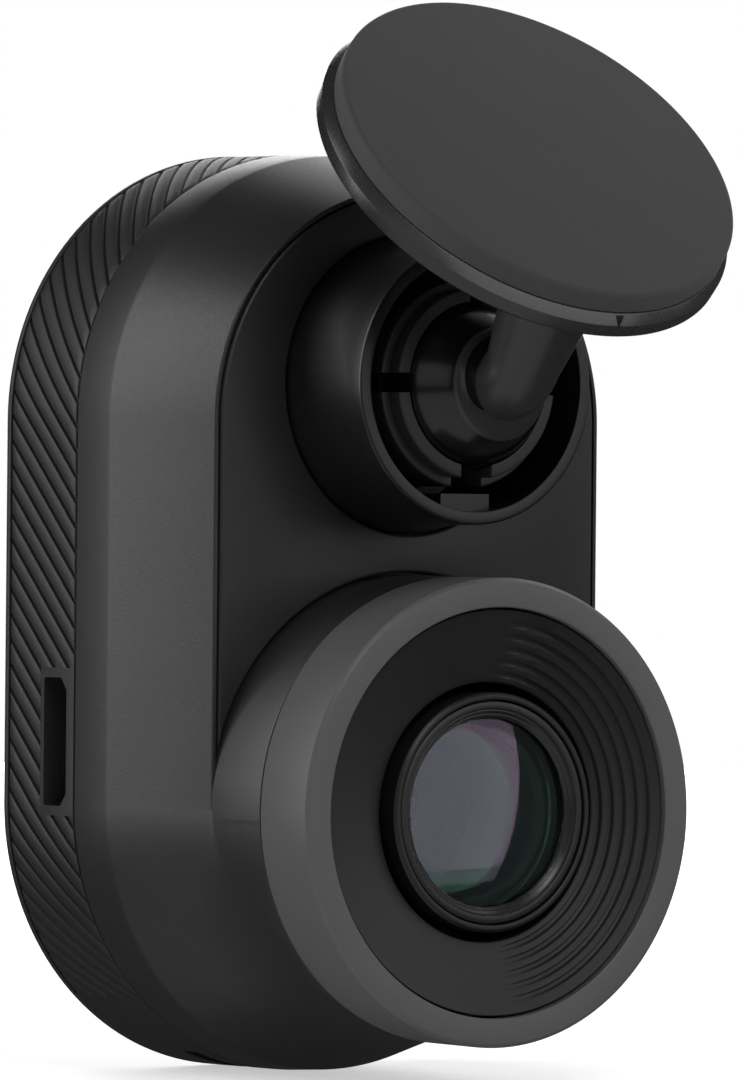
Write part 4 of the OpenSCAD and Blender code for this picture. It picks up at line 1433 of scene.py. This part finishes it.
@dataclass
class RearShell:
    """The grip frame with its slanted ribs, the back cover and the controls in it."""

    pieces: Pieces
    wall: float = 1.4
    rib_count: int = 99
    groove_w: float = 0.34
    groove_d: float = 0.18
    slant: float = -0.964
    sunk: float = 0.03
    band_gap: float = 0.06
    band_edge: tuple[float, float] = (0.04, 0.12)
    patch_half: float = 44.0
    usb_y: float = 1.95
    usb_rise: float = 3.5
    usb_l: float = 7.3
    usb_w: float = 2.3
    usb_cut: float = 0.7
    usb_border: tuple[float, float] = (0.4, 0.55)
    card_front_y: float = 2.05
    card_w: float = 11.0
    card_t: float = 1.0
    card_gap: float = 0.25
    thumb_r: float = 2.2
    thumb_drop: float = 1.2
    crown_rise: float = 1.6
    cover_t: float = 1.2
    spigot_in: float = 1.32
    spigot_w: float = 0.88
    spigot_len: float = 0.8
    button_l: float = 10.0
    button_w: float = 5.0
    button_z: float = 11.5
    button_gap: float = 0.15
    flange: float = 0.8
    led_rise: float = 7.0
    pipe_r: float = 0.85
    mic_r: float = 0.4
    mic_at: tuple[float, float] = (7.5, 1.0)
    slot: tuple[float, float] = (5.7, 0.7)
    grille_z: float = -9.0
    grille_pitch: float = 1.6
    grille_n: int = 5

    def _draft(self, y: float) -> float:
        """How far the frame's side stands out at a depth, over its radius at the seam."""
        place = self.pieces.place
        return (place.back_r - place.seam_r) * y / place.back_y

    def _rib_cell(self, pitch: float) -> Form:
        """One rib and its groove, laid flat: X along the outline, Y the depth, Z the height.

        Args:
            pitch: Distance from one rib to the next, along the outline.

        Returns:
            The rib.
        """
        place = self.pieces.place
        w, d, soft, ease = self.groove_w, self.groove_d, 0.02, 0.06
        outline = [(0, -soft), (ease, 0), (pitch * 0.4, 0), (pitch - w - ease, 0), (pitch - w, -soft),
                   (pitch - w * 0.72, -d), (pitch - w * 0.28, -d), (pitch, -soft)]
        front, back = Frame.seam_gap + self.band_gap, place.back_y - self.band_gap
        slight, deep = self.band_edge
        depths = [front, front + slight, front + deep]
        depths += [front + deep + (back - front - 2 * deep) * i / 12 for i in range(1, 12)]
        depths += [back - deep, back - slight, back]
        edge = {0: deep, 1: slight, len(depths) - 1: deep, len(depths) - 2: slight}
        form = Form()
        rows = []
        for j, y in enumerate(depths):
            top = self._draft(y) - self.sunk
            shift = self.slant * y
            outer = [form.bm.verts.new((s + shift, y, top + min(h, -edge.get(j, 0.0))))
                     for s, h in outline]
            inner = [form.bm.verts.new((s + shift, y, -self.wall)) for s in (pitch, 0)]
            rows.append((outer, inner))
        for (a, c), (b, e) in zip(rows, rows[1:]):
            for k in range(len(a) - 1):
                form.bm.faces.new((a[k], a[k + 1], b[k + 1], b[k]))
            form.bm.faces.new((c[0], c[1], e[1], e[0]))
        for outer, inner in (rows[0], rows[-1]):
            form.bm.faces.new(outer + inner)
        return form

    def _smooth_patch(self, path: Sequence[Station], y0: float, y1: float, soft: float = 0.08) -> Form:
        """A smooth area that stands just proud of the ribs.

        Args:
            path: Stations along it.
            y0: Depth of its front edge.
            y1: Depth of its rear edge.
            soft: Size of its rounded edges.

        Returns:
            The area as a thick strip.
        """
        r = self.pieces.place.seam_r
        corners = [(r - 1.0, y0), (r + self._draft(y0), y0), (r + self._draft(y1), y1), (r - 1.0, y1)]
        section = [corners[0]] + eased(*corners[:3], soft, 3) + eased(*corners[1:], soft, 3) + [corners[3]]
        return Form().sweep(section, path, loop=False)

    def frame_ring(self) -> bpy.types.Object:
        """Makes the grip frame: the ribbed band, its smooth areas and its openings.

        Returns:
            The piece.
        """
        place = self.pieces.place
        h, r = place.straight, place.seam_r
        girth = 4 * h + 2 * math.pi * r
        pitch = girth / self.rib_count
        band = grown(self._rib_cell(pitch), wrapped_row_tree(), GRIP, Count=self.rib_count,
                     Step=(pitch, 0, 0), Radius=r, Straight_side=2 * h, Half_turn=math.pi * r, Girth=girth)
        spread = math.radians(self.patch_half)
        bottom = ring_path(-h, 49, 1.5 * math.pi - spread, 2 * spread)
        band.join(self._smooth_patch(bottom, Frame.seam_gap, place.back_y - 0.01))
        usb_z = self.usb_rise - h
        reach = self.usb_l / 2 + self.usb_border[1]
        side = [Station(0, z, -1, 0) for z in (usb_z + reach, usb_z + 2, usb_z, -h)]
        turn = math.asin((reach - usb_z - h) / r)
        side += ring_path(-h, 4, math.pi, turn)[1:]
        band.join(self._smooth_patch(side, Frame.seam_gap, self.usb_y + self.usb_w / 2 + self.usb_border[0]))
        band.cut(self._usb_plug(usb_z))
        half, gap = self.card_w / 2, self.card_gap
        low = -h - place.back_r
        band.cut(block((-half - gap, self.card_front_y - gap, low - 1),
                       (half + gap, self.card_front_y + self.card_t + gap, low + 4)))
        notch_y = self.card_front_y + self.card_t / 2
        band.cut(bar(self.thumb_r, notch_y - 0.5, notch_y + 1.3, z=low - self.thumb_drop))
        return self.pieces.finish(band, "grip_frame", "rear_housing", GRIP, sharp=math.radians(28))

    def _usb_plug(self, usb_z: float) -> Form:
        """The shape of the power socket's opening, whose front corners are cut off.

        Args:
            usb_z: Height of the opening's middle.

        Returns:
            The shape, to be cut away.
        """
        cut = self.usb_cut
        w, n = self.usb_w / 2, self.usb_l / 2
        corners = [(-w, -n + cut, 0.1), (-w + cut * 0.8, -n, 0.1), (w, -n, 0.2), (w, n, 0.2),
                   (-w + cut * 0.8, n, 0.1), (-w, n - cut, 0.1)]
        points = rounded(corners, 3)
        r = self.pieces.place.seam_r
        rings = [[Vector((x, self.usb_y + u, usb_z + v)) for u, v in points] for x in (-r - 2, -r + 3)]
        return Form().loft(rings, loop=False)

    def _crown(self, radius: float, inset: float = 0.0) -> Point:
        """Finds a point on the crowned face of the cover.

        Args:
            radius: Distance from the middle line.
            inset: Distance under the outer face.

        Returns:
            The radius and the depth.
        """
        place = self.pieces.place
        r, rise = place.back_r, self.crown_rise
        sweep = (r * r + rise * rise) / (2 * rise)
        return radius, place.crown_y - sweep + math.sqrt((sweep - inset) ** 2 - radius ** 2)

    def cover(self) -> bpy.types.Object:
        """Makes the crowned back cover with its openings.

        Returns:
            The piece.
        """
        place = self.pieces.place
        r, crown = place.back_r, place.crown_y
        spigot_r, inner_r = r - self.spigot_in, r - self.spigot_in - self.spigot_w
        outer = [self._crown(r * i / 24) for i in range(24)]
        edge = self._crown(r)
        foot = (r, place.back_y + 0.03)
        spigot_y = foot[1] - self.spigot_len
        section = outer + eased(outer[-1], edge, foot, 0.2, 4) + eased(edge, foot, (r - 1, foot[1]), 0.08, 3)
        section += [(spigot_r, foot[1]), (spigot_r, spigot_y), (inner_r, spigot_y)]
        section += [self._crown(inner_r * i / 12, self.cover_t) for i in range(12, -1, -1)]
        form = Form().sweep(section, outline_path(place.straight, 80))
        y0, y1 = place.back_y - 2, crown + 1
        gap = 2 * self.button_gap
        form.cut(pill_bar(self.button_l + gap, self.button_w + gap, y0, y1, self.button_z))
        form.cut(bar(self.pipe_r, y0, y1, z=self.button_z + self.led_rise))
        form.cut(bar(self.mic_r, y0, y1, *self.mic_at, count=32))
        first = self.grille_z - (self.grille_n - 1) / 2 * self.grille_pitch
        slots = grown(pill_bar(*self.slot, y0, y1, first), row_tree(), COVER,
                      Count=self.grille_n, Step=(0, 0, self.grille_pitch))
        form.cut(slots)
        return self.pieces.finish(form, "crowned_cover", "back_cover", COVER)

    def button(self) -> bpy.types.Object:
        """Makes the action button, with a flange that keeps it in and a slightly hollow top.

        Returns:
            The piece.
        """
        place = self.pieces.place
        low, high = (place.inside(p) for p in size_of("action_button"))
        length, width, z = self.button_l, self.button_w, self.button_z
        base, top, soft = low.y, high.y, 0.3
        flange = self.flange
        levels = [(-flange, base), (-flange, base + flange), (0, base + flange + 0.02)]
        levels += [(soft * (1 - math.cos(a)), top - soft * (1 - math.sin(a)))
                   for a in (math.pi / 2 * i / 5 for i in range(6))]
        levels += [(0.7, top - 0.01), (1.2, top - 0.05), (1.8, top - 0.08)]
        form = Form().slab(levels, lambda inset: [pill_loop(length, width, inset, z=z, count=32)])
        return self.pieces.finish(form, "button_cap", "action_button", BUTTON)

    def build(self) -> None:
        """Makes the back of the body and dresses what it shows inside."""
        self.frame_ring()
        self.cover()
        self.button()
        self.pieces.smoothed("usb_socket", TINPLATE, 0.03)
        self.pieces.smoothed("memory_card", CARD, 0.06)
        self.pieces.smoothed("light_pipe", PIPE, 0.05)
        self.pieces.dress(STEEL, "housing_screws", "lens_screws", "board_screws")


@dataclass
class LensUnit:
    """The lens ring, the ribbed disc, and the lens with its tube and elements."""

    pieces: Pieces
    ring_face: float = 1.65
    ring_edge: float = 0.2
    ring_gap: float = 0.06
    ring_lip: float = 1.05
    spigot_in: float = 1.47
    groove_n: int = 5
    groove_w: float = 0.4
    groove_d: float = 0.22
    groove_first: float = 0.1944
    groove_step: float = 0.1722
    dish: float = 1.1
    eye_gap: float = 0.55
    cell_wall: float = 0.1
    mouth_w: float = 0.65
    glass_drop: float = 0.75
    shoulder: float = 3.95
    tube_len: float = 6.0
    retainer_w: float = 0.55
    retainer_lip: float = 0.35
    glass_radius: float = 16.0

    def turned(self, section: Sequence[Point], name: str, node: str, look: Finish | Glass,
               count: int = 160) -> bpy.types.Object:
        """Makes a piece turned about the lens axis.

        Args:
            section: Its closed section, as radius and depth.
            name: Its name.
            node: The CAD node that it stands for.
            look: Its finish.
            count: Number of steps round it.

        Returns:
            The piece.
        """
        form = Form().sweep(section, ring_path(self.pieces.place.lens_z, count))
        return self.pieces.finish(form, name, node, look)

    def ring(self) -> bpy.types.Object:
        """Makes the lens ring.

        Returns:
            The piece.
        """
        place = self.pieces.place
        r, front, seam = place.ring_r, place.ring_y, place.barrel_y - self.ring_gap
        inner, bore, tail = r - self.ring_face, r - self.ring_face - self.ring_lip, place.ring_back_y
        spigot = r - self.spigot_in
        section = rounded([
            (inner, front, 0.1), (r - self.ring_edge, front, 0.06), (r, front + self.ring_edge, 0.06),
            (r, seam, 0.08), (spigot, seam, 0), (spigot, tail, 0), (bore, tail, 0),
            (bore, place.disc_back_y + 0.02, 0), (inner, place.disc_back_y + 0.02, 0),
        ], steps=4)
        return self.turned(section, "lens_bezel", "lens_ring", RING)

    def _disc_section(self, station: Station) -> list[Point]:
        """Section of the disc, whose grooves are deepest on the right and fade towards top and bottom.

        Args:
            station: The place that the section is for.

        Returns:
            The section.
        """
        place = self.pieces.place
        r, front = place.disc_r, place.disc_y
        eye = place.tube_r + self.eye_gap
        span = r - eye
        fade = smooth_step((station.dx - 0.02) / 0.5)
        points = [(r, place.disc_back_y), (r, front + 0.05), (r - 0.05, front)]
        w, depth = self.groove_w / 2, self.groove_d * fade
        for k in range(self.groove_n):
            at = r - span * (self.groove_first + k * self.groove_step)
            for shift, share in ((w, 0), (w * 0.85, 0.12), (w * 0.55, 0.85), (w * 0.3, 1), (-w * 0.3, 1),
                                 (-w * 0.55, 0.85), (-w * 0.85, 0.12), (-w, 0)):
                radius = at + shift
                points.append((radius, front + self.dish * (r - radius) / span + depth * share))
        back = front + self.dish
        return points + [(eye + 0.06, back), (eye, back + 0.06), (eye, place.disc_back_y)]

    def disc(self) -> bpy.types.Object:
        """Makes the dished disc with its fading grooves."""
        form = Form().sweep(self._disc_section, ring_path(self.pieces.place.lens_z, 240))
        return self.pieces.finish(form, "grooved_disc", "ribbed_disc", DISC, sharp=math.radians(25))

    def tube(self) -> bpy.types.Object:
        """Makes the tube that holds the lens elements.

        Returns:
            The piece.
        """
        place = self.pieces.place
        r, front = place.tube_r, place.tube_y
        seat = place.glass_r + self.cell_wall
        tail, shoulder, glass = front + self.tube_len, front + self.shoulder, front + self.glass_drop
        bore = seat + self.mouth_w
        mouth = [(bore, front, 0.05), (r - 0.15, front, 0.05), (r, front + 0.15, 0.05)]
        section = rounded([
            *mouth, (r, tail, 0), (seat - 1, tail, 0), (seat - 1, shoulder, 0), (seat, shoulder, 0),
            (seat, glass, 0), (bore, glass, 0.04),
        ], steps=3)
        return self.turned(section, "lens_barrel_tube", "lens_tube", LENS_BLACK)

    def retainer(self) -> bpy.types.Object:
        """Makes the ring that clamps the front element, stepped towards the glass.

        Returns:
            The piece.
        """
        place = self.pieces.place
        seat = place.glass_r + self.cell_wall
        front = place.tube_y + 0.12
        glass = place.tube_y + self.glass_drop
        outer, foot, lip = seat + self.retainer_w, glass - 0.02, seat - self.retainer_lip
        steps = [
            (lip, glass - 0.2, 0.03), (seat - 0.2, glass - 0.36, 0.03), (seat - 0.14, glass - 0.34, 0.02),
            (seat + 0.02, front + 0.12, 0.03), (seat + 0.1, front + 0.14, 0.02), (seat + 0.16, front, 0.03),
        ]
        section = rounded([
            *steps, (outer, front, 0.05), (outer, foot, 0), (seat - 0.1, foot, 0), (lip, glass - 0.12, 0),
        ], steps=3)
        return self.turned(section, "retaining_ring", "lens_retainer", RETAINER)

    def _element(self, node: str, front_bulge: float, back_hollow: float, name: str, look: Glass) -> None:
        """Makes a lens element from its node's rim and the bulge of its two faces.

        Args:
            node: The CAD node.
            front_bulge: How far its front face stands out before its rim.
            back_hollow: How far its back face is hollowed, or, when negative, stands out.
            name: The piece's name.
            look: Its glass.
        """
        place = self.pieces.place
        low, high = (place.inside(p) for p in size_of(node))
        r = high.x - 0.01
        rim_front = low.y + front_bulge
        rim_back = high.y + min(back_hollow, 0)
        section = [(r * i / 24, low.y + front_bulge * (i / 24) ** 2) for i in range(25)]
        section[-1:] = [(r, rim_front + 0.03), (r, rim_back)]
        section += [(r * i / 24, rim_back - back_hollow * (1 - (i / 24) ** 2)) for i in range(23, -1, -1)]
        self.turned(section, name, node, look, 128)

    def build(self) -> None:
        """Makes the lens's pieces."""
        self.ring()
        self.disc()
        self.tube()
        self.retainer()
        r = self.pieces.place.glass_r
        crown = self.glass_radius - math.sqrt(self.glass_radius ** 2 - r ** 2)
        self._element("front_lens", crown, 0.9, "front_element", FRONT_GLASS)
        self._element("second_lens", 0.8, 0.6, "second_element", INNER_GLASS)
        self._element("third_lens", 0.7, -0.5, "third_element", INNER_GLASS)
        self._element("rear_lens", 0.4, 0.3, "fourth_element", INNER_GLASS)
        self.pieces.dress(LENS_BLACK, "aperture_stop", "lens_holder")
        self.pieces.dress(FILTER_GLASS, "ir_filter")
        self.pieces.dress(SENSOR, "image_sensor")


@dataclass
class Electronics:
    """The boards inside the body and the parts that sit on and round them."""

    pieces: Pieces

    def build(self) -> None:
        """Gives the boards and the parts on and round them their finishes."""
        dress = self.pieces.dress
        dress(BOARD, "sensor_board", "main_board")
        dress(FILM, "sensor_cable")
        dress(TINPLATE, "shield_can")
        dress(THERMAL, "thermal_pad")
        dress(ALUMINIUM, "heat_spreader")
        dress(NICKEL, "card_socket")
        dress(SLEEVE, "backup_cell")
        dress(SWITCH, "tact_switch")
        dress(PLUNGER, "switch_plunger")
        dress(RESIN, "status_led")
        dress(BRASS, "microphone")
        dress(RUBBER, "mic_boot", "speaker")


# ---------------------------------------------------------------- studio

@dataclass(frozen=True)
class Lamp:
    """A rectangular softbox that faces a point on the object.

    Attributes:
        name: Its name.
        away: Direction from its target, in azimuth from -Y towards +X and in height, degrees.
        distance: Metres from its target.
        size: Width and height in metres.
        power: Power in watts.
        tint: Colour, sRGB hex.
        only: The pieces that it lights, or none for all pieces but the lens elements.
    """

    name: str
    away: tuple[float, float]
    distance: float
    size: tuple[float, float]
    power: float
    tint: str = "#ffffff"
    only: tuple[str, ...] = ()


def outward(azimuth: float, height: float) -> Vector:
    """Direction at an azimuth from -Y towards +X and at a height over the horizon, in degrees."""
    a, e = math.radians(azimuth), math.radians(height)
    return Vector((math.sin(a) * math.cos(e), -math.cos(a) * math.cos(e), math.sin(e)))


@dataclass
class Studio:
    """Camera, floor and lamps.

    Angles are in degrees and distances in metres. The focal length and the other sizes whose names end
    in _mm are in millimetres.
    """

    place: Frame
    azimuth: float = -34.32
    height: float = 0.6
    roll: float = 0.54
    distance: float = 0.4608
    aim_right: float = 0.0039
    aim_up: float = 0.0042
    focal_mm: float = 266.2
    floor_r_mm: float = 600.0
    floor_gap_mm: float = 0.01
    fibre_mm: float = 1.5
    fibre_relief_mm: float = 0.02
    paper_glow: float = 0.5
    room_glow: float = 0.04
    lamps: tuple[Lamp, ...] = (
        Lamp("key_left_behind", (-120, 20), 0.6, (0.3, 0.55), 1.9),
        Lamp("front_top", (-15, 42), 0.6, (0.3, 0.3), 1.35),
        Lamp("rim_right_behind", (150, 12), 0.6, (0.3, 0.3), 1.3),
        Lamp("high_right_behind", (135, 42), 0.6, (0.3, 0.3), 0.4),
        Lamp("high_right", (92, 42), 0.6, (0.5, 0.3), 0.65),
        Lamp("low_right", (60, 12), 0.6, (0.3, 0.3), 0.3),
        Lamp("low_front", (15, 12), 0.6, (0.6, 0.3), 0.55),
        Lamp("low_left", (-75, 12), 0.6, (0.6, 0.3), 0.22),
        Lamp("floor_bounce", (-75, -50), 0.3, (0.5, 0.5), 0.35),
        Lamp("lens_window", (4, 18), 0.5, (1.0, 0.9), 4.6, only=(*LENS_ELEMENTS, "glass_plate")),
        Lamp("lens_fill", (50, -12), 0.7, (1.8, 1.8), 3.0, tint="#a8e4c0", only=LENS_ELEMENTS),
    )

    def camera(self) -> None:
        """Makes the camera, upright but for a slight roll."""
        centre = self.place.origin * MM
        back = outward(self.azimuth, self.height)
        a, e = math.radians(self.azimuth), math.radians(self.height)
        right = Vector((math.cos(a), math.sin(a), 0))
        up = Vector((-math.sin(a) * math.sin(e), math.cos(a) * math.sin(e), math.cos(e)))
        data = bpy.data.cameras.new("camera")
        data.lens = self.focal_mm
        data.sensor_width = 36
        data.sensor_fit = "AUTO"
        data.clip_start = 0.01
        camera = bpy.data.objects.new("camera", data)
        aim = right * self.aim_right + up * self.aim_up - back * self.distance
        look = aim.to_track_quat("-Z", "Y").to_matrix().to_4x4()
        camera.matrix_world = (Matrix.Translation(centre + back * self.distance) @ look
                               @ Matrix.Rotation(math.radians(self.roll), 4, "Z"))
        bpy.context.scene.collection.objects.link(camera)
        bpy.context.scene.camera = camera

    def floor(self) -> None:
        """Makes the pale floor that the body stands on."""
        form = Form()
        drop = CAD_BOX[0][2] / MM - self.floor_gap_mm
        bmesh.ops.create_circle(form.bm, cap_ends=True, segments=128, radius=self.floor_r_mm)
        form.moved(Matrix.Translation((0, self.place.origin.y, drop)))
        floor = form.temporary()
        floor.name = "floor"
        floor.data.transform(Matrix.Diagonal((MM, MM, MM, 1)))
        floor.data.materials.append(self.paper())
        # Seen in the lens, the floor's edge would cut the window's reflection in two
        floor.visible_glossy = False
        floor.visible_transmission = False

    def paper(self) -> bpy.types.Material:
        """Makes white paper that glows a little, so that only the object's own shade shows on it.

        Returns:
            The material.
        """
        made = bpy.data.materials.new("backlit_white_paper")
        made.use_nodes = True
        tree = made.node_tree
        tree.nodes.clear()
        place = add_node(tree, "ShaderNodeTexCoord").outputs["Object"]
        fibre = add_node(tree, "ShaderNodeTexNoise", {"Vector": place, "Scale": 1 / (self.fibre_mm * MM)})
        bump = add_node(tree, "ShaderNodeBump", {
            "Height": fibre.outputs[0], "Distance": self.fibre_relief_mm * MM,
        })
        seen = add_node(tree, "ShaderNodeLightPath").outputs["Is Camera Ray"]
        glow = add_node(tree, "ShaderNodeMath", {0: seen, 1: self.paper_glow}, operation="MULTIPLY")
        shader = add_node(tree, "ShaderNodeBsdfPrincipled", {
            "Base Color": linear("#f0f0f0"), "Roughness": 0.9, "Normal": bump.outputs[0],
            "Emission Color": (1, 1, 1, 1), "Emission Strength": glow.outputs[0],
        })
        add_node(tree, "ShaderNodeOutputMaterial", {"Surface": shader.outputs[0]})
        return made

    def link(self, lamp: bpy.types.Object, only: Sequence[str]) -> None:
        """Keeps a lamp to the pieces it is for, or keeps a lamp of the room off the lens elements.

        A lamp under the floor stands for the light that the floor throws back, so the floor doesn't shade it.

        Args:
            lamp: The lamp.
            only: Names of the pieces, or none for a lamp of the room.
        """
        lit = bpy.data.collections.new(f"{lamp.name}_pieces")
        for name in only or LENS_ELEMENTS:
            lit.objects.link(bpy.data.objects[name])
        lamp.light_linking.receiver_collection = lit
        if only:
            lamp.light_linking.blocker_collection = lit
            return
        for row in lit.collection_objects:
            row.light_linking.link_state = "EXCLUDE"
        if lamp.location.z < CAD_BOX[0][2]:
            unshaded = bpy.data.collections.new(f"{lamp.name}_unshaded")
            unshaded.objects.link(bpy.data.objects["floor"])
            unshaded.collection_objects[0].light_linking.link_state = "EXCLUDE"
            lamp.light_linking.blocker_collection = unshaded

    def light(self) -> None:
        """Makes the lamps and the bright room, which the camera sees as white."""
        centre = self.place.origin * MM
        lens = centre + Vector((0, self.place.glass_y, self.place.lens_z)) * MM
        for lamp in self.lamps:
            data = bpy.data.lights.new(lamp.name, "AREA")
            data.shape = "RECTANGLE"
            data.size, data.size_y = lamp.size
            data.energy = lamp.power
            data.color = linear(lamp.tint)[:3]
            made = bpy.data.objects.new(lamp.name, data)
            way = outward(*lamp.away)
            target = lens if lamp.only else centre
            made.location = target + way * lamp.distance
            made.rotation_euler = way.to_track_quat("Z", "Y").to_euler()
            self.link(made, lamp.only)
            bpy.context.scene.collection.objects.link(made)
        world = bpy.data.worlds.new("studio")
        bpy.context.scene.world = world
        world.use_nodes = True
        tree = world.node_tree
        tree.nodes.clear()
        seen = add_node(tree, "ShaderNodeLightPath").outputs["Is Camera Ray"]
        room = add_node(tree, "ShaderNodeBackground", {
            "Color": (1, 1, 1, 1), "Strength": self.room_glow,
        })
        paper = add_node(tree, "ShaderNodeBackground", {"Color": (1, 1, 1, 1), "Strength": 1.0})
        both = add_node(tree, "ShaderNodeMixShader", {0: seen, 1: room.outputs[0], 2: paper.outputs[0]})
        add_node(tree, "ShaderNodeOutputWorld", {"Surface": both.outputs[0]})
        bpy.context.scene.view_settings.view_transform = "Standard"

    def build(self) -> None:
        """Sets up the studio."""
        self.camera()
        self.floor()
        self.light()


def main() -> None:
    """Builds every sub-assembly and the studio round them."""
    logging.basicConfig(level=logging.INFO, format="%(name)s %(message)s")
    place = Frame()
    pieces = Pieces(place)
    for part in (WindscreenMount, BallJoint, FrontShell, RearShell, LensUnit, Electronics):
        LOG.info("sub-assembly %s", part.__name__)
        part(pieces).build()
    Studio(place).build()


if __name__ == "__main__":
    main()
